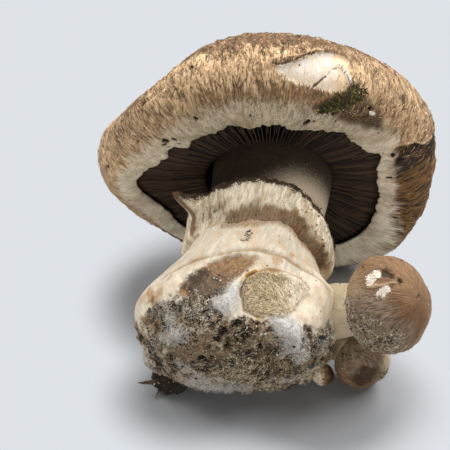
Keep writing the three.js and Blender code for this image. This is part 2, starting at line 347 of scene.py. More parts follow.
class Turned(Shape):
    """An outline spun round Z. Each point knows its row, angle, radius and level in that outline."""

    CUTS = 3  # the spin is coarse, and each of its edges is then cut this often

    def __init__(self, outline, sides, crowd=0.0):
        """crowd draws the points towards the side that faces up, by that share of their spacing."""
        bm = bmesh.new()
        row = bm.verts.layers.float.new("row")
        chain = []
        for index in range(0, len(outline), self.CUTS + 1):
            vertex = bm.verts.new((outline[index][0], 0, outline[index][1]))
            vertex[row] = index
            chain.append(vertex)
        edges = [bm.edges.new(pair) for pair in zip(chain, chain[1:])]
        bmesh.ops.spin(
            bm,
            geom=chain + edges,
            cent=(0, 0, 0),
            axis=(0, 0, 1),
            dvec=(0, 0, 0),
            angle=2 * math.pi,
            steps=sides // (self.CUTS + 1),
            use_merge=True,
        )
        bmesh.ops.subdivide_edges(bm, edges=bm.edges, cuts=self.CUTS, use_grid_fill=True)
        bmesh.ops.remove_doubles(bm, verts=bm.verts, dist=1e-4)
        # The operators leave the points in an order that changes from run to run, so they are sorted
        # by row, and round each row. A closed outline ends on its first row.
        rows = len(outline) - np.array_equal(outline[0], outline[-1])

        def order(vertex):
            turn = math.atan2(vertex.co.y, vertex.co.x) / (2 * math.pi)
            return round(vertex[row]) % rows * sides + round(turn * sides) % sides

        bm.verts.sort(key=order)
        super().__init__(bm)
        self.row = self.number("row")
        self.mesh.attributes.remove(self.mesh.attributes["row"])
        self.radius = self.at(outline[:, 0])
        self.level = self.at(outline[:, 1])
        places = self.points
        turn = np.arctan2(places[:, 1], places[:, 0]) * (self.radius > 0.001)
        turn -= crowd * np.sin(turn + math.pi / 2)
        self.angle = np.degrees(np.arctan2(np.sin(turn), np.cos(turn)))

    def at(self, values):
        """Values that are given for the rows of the outline, at every point."""
        return np.interp(self.row, np.arange(len(values)), values)

    def set_round(self, radius, level, side=0, down=0):
        turn = np.radians(self.angle)
        self.points = np.stack([radius * np.cos(turn) + side, radius * np.sin(turn) + down, level], axis=-1)

    def grain(self, radius, along):
        """A place for patterns that run along the outline: two measures round it and one along."""
        turn = np.radians(self.angle)
        return np.stack([radius * np.cos(turn), radius * np.sin(turn), along], axis=-1)


def copies(template, count):
    """Copies of a small bmesh in one Shape, and their points as (copy, point, xyz)."""
    small = bpy.data.meshes.new("small")
    template.to_mesh(small)
    template.free()
    bm = bmesh.new()
    for _ in range(count):
        bm.from_mesh(small)
    bpy.data.meshes.remove(small)
    shape = Shape(bm)
    return shape, shape.points.reshape(count, -1, 3)


def unit(vectors):
    return vectors / np.maximum(np.linalg.norm(vectors, axis=-1, keepdims=True), 1e-9)


def pebbles(places, normals, sizes, rng, flat=1.0):
    """Small lumps at places, in one Shape. Each is turned at random, and stands along its normal, flat
    times as high as it is wide. Its own random number is kept on it as tint."""
    pebble = bmesh.new()
    bmesh.ops.create_icosphere(pebble, subdivisions=1, radius=0.5)
    count = len(places)
    shape, local = copies(pebble, count)
    each = local.shape[1]
    local = local * (1 + 0.28 * rng.uniform(-1, 1, (count, each, 1)))
    local = local * rng.uniform(0.75, 1.3, (count, 1, 3))
    local[..., 2] *= flat
    across = unit(np.cross(normals, rng.normal(size=(count, 3))))
    frames = np.stack([across, np.cross(normals, across), normals], axis=1)
    shape.points = (places[:, None] + (local * sizes[:, None, None]) @ frames).reshape(-1, 3)
    shape.paint(tint=np.repeat(rng.uniform(0, 1, count), each))
    return shape


def surface_of(piece, mask):
    """The points of a finished piece in millimetres, their normals and a number painted on them."""
    mesh = bpy.data.objects[piece].data
    total = len(mesh.vertices)
    places, normals = np.empty(total * 3, np.float32), np.empty(total * 3, np.float32)
    weight = np.empty(total, np.float32)
    mesh.vertices.foreach_get("co", places)
    mesh.vertex_normals.foreach_get("vector", normals)
    mesh.attributes[mask].data.foreach_get("value", weight)
    places, normals = (values.reshape(-1, 3).astype(float) for values in (places, normals))
    return places / MM, normals, weight.astype(float)


def spike(sides, tip, cuts):
    """A cone of height 1 that stands round Z from -0.5 up, with cuts across it."""
    bm = bmesh.new()
    bmesh.ops.create_cone(bm, segments=sides, radius1=0.5, radius2=tip, depth=1, cap_ends=True)
    lengthwise = [e for e in bm.edges if abs(e.verts[0].co.z - e.verts[1].co.z) > 0.5]
    bmesh.ops.subdivide_edges(bm, edges=lengthwise, cuts=cuts)
    return bm


def strands(places, normals, way, sizes, lift, rng):
    """Thin fibres that start at places and lie along a way over a surface, in one Shape. Sizes are
    their (length, width); their middle or free end stands off the surface by up to lift."""
    count = len(places)
    shape, points = copies(spike(3, 0.1, 2), count)
    along = points[..., 2:3] + 0.5
    ahead = unit(way - normals * np.sum(way * normals, axis=1, keepdims=True))
    aside = np.cross(normals, ahead)
    long, wide = (sizes[:, None, k : k + 1] for k in (0, 1))
    bend = rng.normal(0, 0.16, (count, 1, 1)) * long * np.sin(np.pi * along)
    rise = rng.uniform(0, 1, (count, 1, 1)) * lift * np.sin(np.pi * (0.15 + 0.7 * along))
    spread = points[..., 0:1] * wide + bend
    thick = points[..., 1:2] * wide * 0.7 + rise
    places = places[:, None] + (along - 0.5) * long * ahead[:, None]
    places = places + spread * aside[:, None] + thick * normals[:, None]
    shape.points = places.reshape(-1, 3)
    shape.paint(tint=np.repeat(rng.uniform(0, 1, count), points.shape[1]), along=along.ravel())
    return shape


# --------------------
# Finishes


class Shade(tuple):
    """A linear colour. Times a number, it is lighter or darker."""

    def __mul__(self, share):
        return Shade(min(part * share, 1) for part in self)


def paint(code):
    """The linear colour of a six-digit colour code."""
    shares = [int(code[k : k + 2], 16) / 255 for k in (0, 2, 4)]
    return Shade(s / 12.92 if s <= 0.04045 else ((s + 0.055) / 1.055) ** 2.4 for s in shares)


class Wire:
    """An output in a finish's node tree. Arithmetic on it adds Math nodes."""

    def __init__(self, finish, socket):
        self.finish = finish
        self.socket = socket

    def __add__(self, other):
        return self.finish.math("ADD", self, other)

    def __sub__(self, other):
        return self.finish.math("SUBTRACT", self, other)

    def __rsub__(self, other):
        return self.finish.math("SUBTRACT", other, self)

    def __mul__(self, other):
        return self.finish.math("MULTIPLY", self, other)

    __radd__ = __add__
    __rmul__ = __mul__


class Finish:
    """A procedural material. Its patterns are measured in millimetres."""

    def __init__(self, name, roughness=0.8, **constants):
        self.material = bpy.data.materials.new(name)
        self.material.use_nodes = True
        self.tree = self.material.node_tree
        self.shader = self.tree.nodes["Principled BSDF"]
        self.shader.inputs["Roughness"].default_value = roughness
        self.shader.inputs["Specular IOR Level"].default_value = 0.3
        for socket, value in constants.items():
            self.shader.inputs[socket.replace("_", " ")].default_value = value
        where = self.node("ShaderNodeTexCoord", output="Object")
        in_mm = {0: where, "Scale": 1 / MM}
        self.place = self.node("ShaderNodeVectorMath", {"operation": "SCALE"}, in_mm)

    def node(self, kind, settings=None, sockets=None, output=0):
        """Adds a node, sets it up, fills or links its sockets, and gives one of its outputs."""
        made = self.tree.nodes.new(kind)
        for name, value in (settings or {}).items():
            setattr(made, name, value)
        for name, value in (sockets or {}).items():
            if isinstance(value, Wire):
                self.tree.links.new(value.socket, made.inputs[name])
            else:
                made.inputs[name].default_value = value
        return Wire(self, made.outputs[output])

    def math(self, operation, first, second):
        return self.node("ShaderNodeMath", {"operation": operation}, {0: first, 1: second})

    def step(self, value, low, high, bottom=0.0, top=1.0):
        """bottom below low and top above high, with a smooth rise between."""
        ends = {"Value": value, "From Min": low, "From Max": high, "To Min": bottom, "To Max": top}
        return self.node("ShaderNodeMapRange", {"interpolation_type": "SMOOTHSTEP"}, ends)

    def mix(self, share, first, second):
        colours = [c if isinstance(c, Wire) else (*c, 1) for c in (first, second)]
        sockets = {0: share, 6: colours[0], 7: colours[1]}
        return self.node("ShaderNodeMix", {"data_type": "RGBA"}, sockets, output=2)

    def graded(self, value, low, high, first, second):
        """One colour below low and another above high, with a smooth change between."""
        return self.mix(self.step(value, low, high), first, second)

    def painted(self, name):
        return self.node("ShaderNodeAttribute", {"attribute_name": name}, output="Fac")

    def there(self, name, low, high, *rough):
        """0 where the painted number is below low and 1 above high. Each (noise, amount) makes the
        border between more ragged."""
        value = self.painted(name)
        for pattern, amount in rough:
            value = value + (pattern - 0.5) * amount
        return self.step(value, low, high)

    def along(self, across, length):
        """The painted grain, with patterns that wide across it and that long along it."""
        place = self.node("ShaderNodeAttribute", {"attribute_name": "grain"}, output="Vector")
        return self.scaled(place, across, length)

    def scaled(self, place, across, length):
        """A place whose patterns are that wide across the fibres and that long along them."""
        scale = (1 / across, 1 / across, 1 / length)
        return self.node("ShaderNodeVectorMath", {"operation": "MULTIPLY"}, {0: place, 1: scale})

    def stirred(self, place, size, amount):
        """A place that wanders by about that amount, in swirls of that size."""
        values = {"Vector": place, "Scale": 1 / size, "Detail": 1}
        swirl = self.node("ShaderNodeTexNoise", None, values, output="Color")
        even = self.node("ShaderNodeVectorMath", {"operation": "SUBTRACT"}, {0: swirl, 1: (0.5,) * 3})
        push = self.node("ShaderNodeVectorMath", {"operation": "SCALE"}, {0: even, "Scale": 2 * amount})
        return self.node("ShaderNodeVectorMath", {"operation": "ADD"}, {0: place, 1: push})

    def clouds(self, size, detail, place=None, roughness=0.55):
        """Soft noise round 0.5, of about that size."""
        where = place or self.place
        values = {"Vector": where, "Scale": 1 / size, "Detail": detail, "Roughness": roughness}
        return self.node("ShaderNodeTexNoise", {"normalize": True}, values)

    def gaps(self, place, width):
        """1 in the narrow gaps between irregular flakes of about 1, and 0 on the flakes."""
        values = {"Vector": place, "Scale": 1}
        far = self.node("ShaderNodeTexVoronoi", {"feature": "DISTANCE_TO_EDGE"}, values, output="Distance")
        return self.step(far, 0, width, 1, 0)

    def specks(self, size, share, place=None, seed=0.0):
        """1 in scattered round specks of up to that size, which cover about that share, and 0 between."""
        ends = {0: place or self.place, 1: (seed,) * 3}
        where = self.node("ShaderNodeVectorMath", {"operation": "ADD"}, ends)
        values = {"Vector": where, "Scale": 0.5 / size}
        far, own = (
            self.node("ShaderNodeTexVoronoi", {"feature": "F1"}, values, output=output)
            for output in ("Distance", "Color")
        )
        split = self.node("ShaderNodeSeparateColor", None, {"Color": own})
        reach = (split - (1 - share)) * (0.5 / share)
        return self.step(reach - far, 0, 0.12)

    def fibrous(self, place, across, length, detail=2.0, roughness=0.6):
        """Soft noise round 0.5, that wide across the fibres and that long along them."""
        return self.clouds(1, detail, self.scaled(place, across, length), roughness)

    def colour(self, wire):
        self.body = wire
        self.tree.links.new(wire.socket, self.shader.inputs["Base Color"])

    def lay(self, share, colour):
        """Lays another colour over the body, as far as share says."""
        self.colour(self.mix(share, self.body, colour))

    def gloss(self, wire):
        self.tree.links.new(wire.socket, self.shader.inputs["Roughness"])

    def relief(self, height):
        """Height in millimetres, as bump."""
        bump = self.node("ShaderNodeBump", None, {"Height": height, "Distance": MM}, output="Normal")
        self.tree.links.new(bump.socket, self.shader.inputs["Normal"])


# --------------------
# Settings


def colour(name, description, code):
    return FloatVectorProperty(
        name=name, description=description, subtype="COLOR", size=3, min=0, max=1, default=paint(code)
    )


def number(name, description, default):
    return IntProperty(name=name, description=description, min=0, default=default)


def length(name, description, default):
    return FloatProperty(name=name, description=description, unit="LENGTH", min=0, default=default * MM)


class CapSettings(bpy.types.PropertyGroup):
    straw: colour("Straw", "Lightest scales of the skin near the margin", "f5d2a6")
    tan: colour("Tan", "Skin over the rest of the margin", "a5825c")
    dome: colour("Dome", "Skin on the top of the cap", "7a5c3f")
    bruise: colour("Bruise", "Darkest skin, where the cap was rubbed", "43301f")
    felt: colour("Felt", "Pale band round the mouth", "c8b89b")
    flesh: colour("Flesh", "Torn flesh under the skin", "ebe3d7")
    fibril: length("Fibril height", "How far the fibrils stand up from the skin", 0.16)
    fibres: number("Fibres", "Loose fibres on the skin", 5200)


class GillSettings(bpy.types.PropertyGroup):
    count: IntProperty(name="Blades", description="Gill blades round the cap", min=40, default=264)
    thickness: length("Thickness", "Of a gill blade at its root", 0.34)
    # The blades' colours are their own dark brown, painted darker still: painted shade for the hollow under
    # the cap.
    face: colour("Face", "Flat side of a blade", "0d0704")
    edge: colour("Edge", "Free edge of a blade", "5a432f")


class StemSettings(bpy.types.PropertyGroup):
    skin: colour("Skin", "Smooth skin of the stem", "ebddc6")
    neck: colour("Neck", "Stem above the ring", "d0bda0")
    ring: colour("Ring", "The torn veil", "e6d8bd")
    stain: colour("Stain", "Bruised skin of the foot", "8a683f")
    ring_thickness: length("Ring thickness", "Of the torn veil at its root", 1.7)


class ButtonSettings(bpy.types.PropertyGroup):
    crown: colour("Crown", "Skin on the top of a young cap", "785b3f")
    side: colour("Side", "Skin lower on a young cap", "a28b6b")
    stalk: colour("Stalk", "Skin of a young stalk", "dcc9a9")


class SoilSettings(bpy.types.PropertyGroup):
    grains: number("Grains", "Grains of soil that cling to the foot", 5200)
    threads: number("Threads", "White threads of mycelium", 1800)
    hairs: number("Hairs", "Brown hairs on the foot", 2600)
    spores: number("Spores", "Clumps of dark spores on the ring", 900)
    dark: colour("Dark", "Wet peat", "2d2116")
    light: colour("Light", "Dry crumbs", "ae987a")
    sand: colour("Sand", "The palest grains", "e6dccb")
    moss: colour("Moss", "Moss leaves", "45431b")


class StageSettings(bpy.types.PropertyGroup):
    lamp_power: FloatProperty(
        name="Lamps", description="Strength of all the lamps", subtype="FACTOR", min=0, default=1
    )
    floor: colour("Floor", "The table", "97989a")
    distance: colour("Distance", "What the floor fades to", "dfe3e8")


GROUPS = {
    "cap": CapSettings,
    "gills": GillSettings,
    "stem": StemSettings,
    "buttons": ButtonSettings,
    "soil": SoilSettings,
    "stage": StageSettings,
}


def settings(group):
    """The values of a group, with its colours as shades."""
    own = getattr(bpy.context.scene, "mushroom_" + group)
    values = {name: getattr(own, name) for name in GROUPS[group].__annotations__}
    shades = {name: Shade(value) for name, value in values.items() if isinstance(value, Color)}
    return SimpleNamespace(**{**values, **shades})


# --------------------
# The cap

# Features of the skin, as (angle, reach): reach is how far from the mouth's edge over the skin.
FELT_EDGE = (
    (-180, 6), (-172, 6), (-160, 8.9), (-151, 7.5), (-138, 7.4), (-125, 9.6), (-112, 9.9), (-103, 10.3),
    (-94, 9.9), (-83, 9.6), (-75, 9.2), (-60, 9), (-45, 11), (-34, 9), (-30, 5), (-26, 3.6), (-12, 3.9),
    (8, 3.8), (20, 5), (32, 7.4), (45, 8.6), (90, 7), (140, 7), (180, 6),
)
WOUND = (
    (-89, 19.9), (-87.3, 19.5), (-82, 21.2), (-76.3, 24.1), (-72, 25.8), (-67.4, 26.9), (-64, 25.8),
    (-63.4, 22.6), (-63.4, 19.6), (-62.3, 17.9), (-64, 15.6), (-67, 14.1), (-71, 14), (-75.8, 14.3),
    (-81.4, 14.9), (-85, 15.8), (-88, 17.6),
)
WOUND_LIP = ((-89.5, 19.8), (-87, 19.7), (-82, 21.3), (-76.3, 24.2), (-72, 25.9), (-67.6, 27.2))
WOUND_CRACK = ((-76, 14.3), (-74, 16), (-71.9, 18.1), (-70.3, 20.2), (-68.5, 21.6))
WOUND_STEP = ((-67.2, 22.8), (-65.9, 21.2), (-64.6, 19.7), (-62.8, 17.8))
SMUDGE = (
    (-69, 8.5), (-66, 10.5), (-62, 13.2), (-57, 15.2), (-51, 14.6), (-45, 12), (-42, 9.6), (-46, 8),
    (-53, 7.2), (-61, 7),
)
LEFT_CRACK = ((-117, 26.2), (-122.6, 24.1), (-128.4, 20.2), (-133.2, 19.1), (-139, 19))
LEFT_FOLD = ((-163, 10), (-162, 6.5), (-157, 4.2), (-151, 2.5))
FOLD_REACH = (0, 2, 6.7, 12.8, 14.9, 20.9, 27)
FOLD_ANGLE = (-26.5, -27.5, -31.5, -25.9, -21.4, -16, -12)
DENT = ((-63.3, 10.6), (-59.6, 8.9), (-55.7, 8.9), (-52.8, 10.3), (-50, 9.9), (-44.3, 9.6))
MOSS_ROUTE = ((-72.9, 9.2), (-70, 11), (-64.9, 12.8), (-63, 16.3), (-61.7, 18.1))
HOLES = (
    (-121.5, 8.1, 0.75), (-116.7, 23, 0.8), (-73.4, 4.2, 1.05), (-70.5, 4.6, 0.5), (-65.9, 3.9, 0.45),
    (-64.4, 8.1, 0.6), (-61.7, 6, 0.4), (-99, 5.9, 0.4), (-141.5, 5.7, 1.2), (-144.2, 1.8, 1.1),
    (-138, 4.8, 0.8), (-143.6, 4.4, 0.9), (-139.4, 2.8, 0.8), (-53, 13.4, 0.6), (-25, 3.2, 1),
    (-21, 6, 0.9), (-9, 3, 0.8), (14, 4.4, 0.6), (-150, 11, 0.5), (-171, 14, 0.6),
)  # and how wide


def between(angle, start, end, soft):
    """1 from one angle round to another, with soft ends."""
    half = (end - start) / 2
    off = np.abs(turn_between(angle, (start + end) / 2))
    return 1 - smooth(off, half - soft / 2, half + soft / 2)


def round_table(angle, rows):
    """A value from rows of (angle, value) that go all the way round."""
    return np.interp(angle, [row[0] for row in rows], [row[1] for row in rows])


def spaced(outline, *runs):
    """New points along the outline. Each run is (where it ends, steps to there); None is the end."""
    gone = np.append(0, np.cumsum(np.linalg.norm(np.diff(outline, axis=0), axis=1)))
    at = [np.zeros(1)]
    for end, steps in runs:
        end = gone[-1] if end is None else end
        at.append(np.linspace(at[-1][-1], end, steps + 1)[1:])
    at = np.concatenate(at)
    return np.stack([np.interp(at, gone, outline[:, k]) for k in range(2)], axis=-1), at


def cap_shape(fibril):
    outside = joined(
        arc((0, 0), (CAP_RADIUS, DOME_HEIGHT), 90, 0, 300),
        arc((MARGIN_RADIUS, 0), (CAP_RADIUS - MARGIN_RADIUS, MARGIN_DEPTH), 0, -90, 100),
        [(MARGIN_RADIUS, -MARGIN_DEPTH), (33.9, -10.2), (33.4, -9.9)],
    )
    inside_wall = [(33.4, -9.9), (33.5, -9.3), (36.5, -6.4), (CHAMBER_RADIUS, CHAMBER_LEVEL)]
    roof = [(CHAMBER_RADIUS, CHAMBER_LEVEL), (CHAMBER_RADIUS, ROOF_LEVEL), (0, ROOF_LEVEL)]
    skin_length = np.linalg.norm(np.diff(outside, axis=0), axis=1).sum()
    runs = ((skin_length - 34, 68), (skin_length, 96), (skin_length + 13, 18), (None, 14))
    outline, gone = spaced(joined(outside, inside_wall, roof), *runs)
    cap = Turned(outline, 480, crowd=0.4)
    angle, level, radius = cap.angle, cap.level, cap.radius
    reach = skin_length - cap.at(gone)
    skin = reach >= 0

    # The swellings of the whole cap.
    lobes = swellings(CAP_LOBES, angle, level)
    mouth = nicks(MOUTH_LOBES, angle) + nicks(MOUTH_NICKS, angle) * hump(reach, 5)
    on_dome = smooth(radius, 0, CROWN_RADIUS)
    on_margin = smooth(radius, MARGIN_RADIUS, MARGIN_RADIUS + MARGIN_BAND)
    push = np.where(level > 0, on_dome, on_margin)
    share = np.where(skin, push * lobes, 0) / np.hypot(radius, level - LOBE_CORE_LEVEL)
    spread = np.where(level < 0, 1 - smooth(radius, MARGIN_RADIUS, CAP_RADIUS), 0)
    depth = CHAMBER_SHARE + (1 - CHAMBER_SHARE) * smooth(-level, -CHAMBER_LEVEL, -MOUTH_LEVEL)
    spread = np.where(skin, spread, smooth(radius, GILL_BELLY_RADIUS, MOUTH_RADIUS - 1) * depth)
    cap.set_round(radius * (1 + share) + spread * mouth, level + share * (level - LOBE_CORE_LEVEL))

    # Where each kind of skin is.
    grain = cap.grain(45, reach)
    ragged = noise(grain, 3.2, 5, 2)
    felt = round_table(angle, FELT_EDGE) + 1.2 * ragged - reach
    face = between(angle, -29, 34, 6) * smooth(reach, 2.5, 7) * (1 - smooth(reach, 24, 34))
    straw = between(angle, -133, -58, 16) * smooth(reach, 9, 20) * (1 - smooth(reach, 19, 30))
    wound = inside(angle, reach, WOUND, 48) + 0.35 * noise(grain, 1.3, 2, 2)
    lip = line_distance(angle, reach, WOUND_LIP, 48)
    above_lip = reach > np.interp(angle, *np.transpose(WOUND_LIP))
    fold_side = turn_between(angle, np.interp(reach, FOLD_REACH, FOLD_ANGLE)) * math.radians(1) * 45
    fold = between(angle, -44, -6, 8) * smooth(reach, 0, 3) * (1 - smooth(reach, 21, 27))
    face *= 1 - (1 - smooth(fold_side, -1.2, 0.4)) * smooth(reach, 4, 9)
    dent = line_distance(angle, reach, DENT, 44)
    crack = np.minimum(line_distance(angle, reach, WOUND_CRACK, 48), 9)
    left_crack = line_distance(angle, reach, LEFT_CRACK, 49) + 0.5 * noise(grain, 1.5, 21)
    left_fold = line_distance(angle, reach, LEFT_FOLD, 42)
    holes = spots(angle, reach, HOLES, 45, 1 + 0.3 * noise(grain, 1.1, 31))

    # The relief of the skin.
    calm = 1 - 0.8 * smooth(felt, -1, 2) - 0.85 * smooth(wound, -0.3, 0.3) * smooth(felt, 2, -1)
    scaly = np.maximum(straw, 0.55 * smooth(reach, 22, 34))
    lumps = 0.4 * noise(grain, 12, 1) + 0.22 * noise(grain, 5, 2, 2)
    wander = grain + 1.4 * np.stack([noise(grain, 5, seed) for seed in (51, 52, 53)], axis=-1)
    fibrils = noise(wander, (1, 1, 4.4), 3, 2)
    shingle = noise(wander, (1.7, 1.7, 4), 4, 2)
    pits = smooth(0.3 - crumbs(wander, (2.2, 2.2, 2.8), 8), 0, 0.16) * smooth(noise(grain, 5, 9), 0, 0.4)
    rise = lumps + calm * (fibril * (1 + scaly) * fibrils + 0.26 * scaly * shingle - 0.5 * scaly * pits)
    rise -= 1.1 * smooth(wound, -0.15, 0.5) * smooth(reach, 11, 21)
    rise += 0.7 * hump(lip, 1.4) * above_lip
    crack += 0.25 * noise(grain, 1.1, 23, 2)
    rise -= 0.5 * hump(crack, 0.3) + 0.4 * hump(left_crack, 0.5)
    step_side = line_distance(angle, reach, WOUND_STEP, 48)
    rise += 0.6 * hump(step_side, 0.7) * between(angle, -70, -61, 2)
    rise += 0.35 * hump(left_crack - 1.4, 1) - 1.2 * hump(left_fold, 0.7)
    rise += 0.9 * hump(left_fold - 1.6, 0.9)
    rise += fold * (1 - 1.5 * smooth(reach, 15, 21)) * (
        0.7 * np.exp(np.minimum(fold_side, 0) / 3) * (fold_side < 0)
        - 1.0 * np.exp(-np.maximum(fold_side, 0) / 4) * (fold_side >= 0)
    )
    rise -= face * 0.5 * (1 + noise(grain, (2.6, 2.6, 9), 14))
    rise -= 0.8 * hump(dent, 1.1) * (1 + 0.6 * noise(grain, 1.2, 17))
    rise -= 1.3 * smooth(holes, -0.25, 0.35)
    rise *= smooth(reach, -0.2, 1.2)
    cap.push(rise)

    # The torn edge of the mouth.
    tooth = hump(reach, 1.2)
    round_edge = cap.grain(36, 0 * reach)
    torn = 0.55 * noise(round_edge, 2.3, 11) + 0.5 * noise(round_edge, 1, 12)
    torn = tooth * (torn + 0.35 * noise(round_edge, 0.6, 13))
    turn = np.radians(angle)
    inwards = np.stack([-np.cos(turn), -np.sin(turn), np.full(cap.count, -0.35)], axis=-1)
    cap.points = cap.points + inwards * torn[:, None]

    lip_width = np.interp(angle, (-91, -86, -80, -74, -68), (1.2, 1.9, 0.9, 0.35, 0.2))
    crown = smooth(reach + 4 * noise(grain, 9, 63), 54, 72)
    away = 1 - smooth(reach, 26, 46)
    shaggy = np.maximum(straw, 0.8 * between(angle, -62, -22, 14) * smooth(reach, 11, 15))
    shaggy = calm * np.maximum(shaggy, 0.35) * smooth(reach, 5, 12) * (1 - 0.8 * crown)
    light = straw + 0.7 * away * (between(angle, -205, -122, 26) + between(angle, -62, -22, 14))
    dusty = hump(dent, 2.4) + 0.5 * hump(line_distance(angle, reach, MOSS_ROUTE, 44), 3)
    dusty += 0.5 * fold * hump(fold_side, 1.5) + 0.03 * (reach > 12)
    cap.paint(
        grain=grain, reach=reach, felt=felt, face=face,
        shaded=1 - smooth(angle + 5 * noise(grain, 6, 61, 2), -21, -2), straw=straw, wound=wound,
        # lip: a dark strip on the skin lifted over the wound, partly its brown torn edge, partly painted
        # shadow under the lift
        lip=np.where(above_lip, lip_width - lip, -3 * lip) + 2 * between(angle, -91, -67, 3) - 2,
        ledge=0.8 - step_side, smudge=inside(angle, reach, SMUDGE, 44) + 0.8 * noise(grain, 2.5, 33, 2),
        fleck=1 - np.hypot(turn_between(angle, -51) * 0.77 / 1.3, (reach - 12.4) / 0.6),
        # rim: where the felt is painted paler, away from the side that faces up: painted light
        rim=0.6 * (1 - between(angle, -136, -42, 24)) + 0.4 * between(angle, -14, 184, 24), crown=crown,
        left=between(angle, -205, -122, 26) * away, low=between(angle, -215, -156, 24) * away,
        crack=np.max([0.22 - crack, 0.25 - left_crack, 0.14 - left_fold], axis=0),
        flap=fold * (1 - np.abs(fold_side + 1.1) / 1.1) + 0.4 * noise(grain, 1.6, 62, 2),
        fold=fold * (1 - np.abs(fold_side) / 1.2) * (fold_side > -0.3),
        dirt=np.maximum(2.2 - dent, 1.8 - line_distance(angle, reach, MOSS_ROUTE, 44)), holes=holes,
        # hollow: how deep the relief sinks, used for painted shade in its hollows
        hollow=-rise + lumps,
        tan=between(angle, -67, -22, 12) * smooth(reach, 9, 13) * (1 - smooth(reach, 26, 36)),
        light=np.clip(light, 0, 1), shaggy=shaggy * (1 - 0.85 * smooth(wound, -0.4, 0.2)),
        soiled=dusty * (reach > 0.5),
    )
    return cap


FACE_OCHRE = paint("38250f"), paint("8a612f")
LIT_RIM_CREAM = paint("fff2dc")
FIBRE_SEED = 3


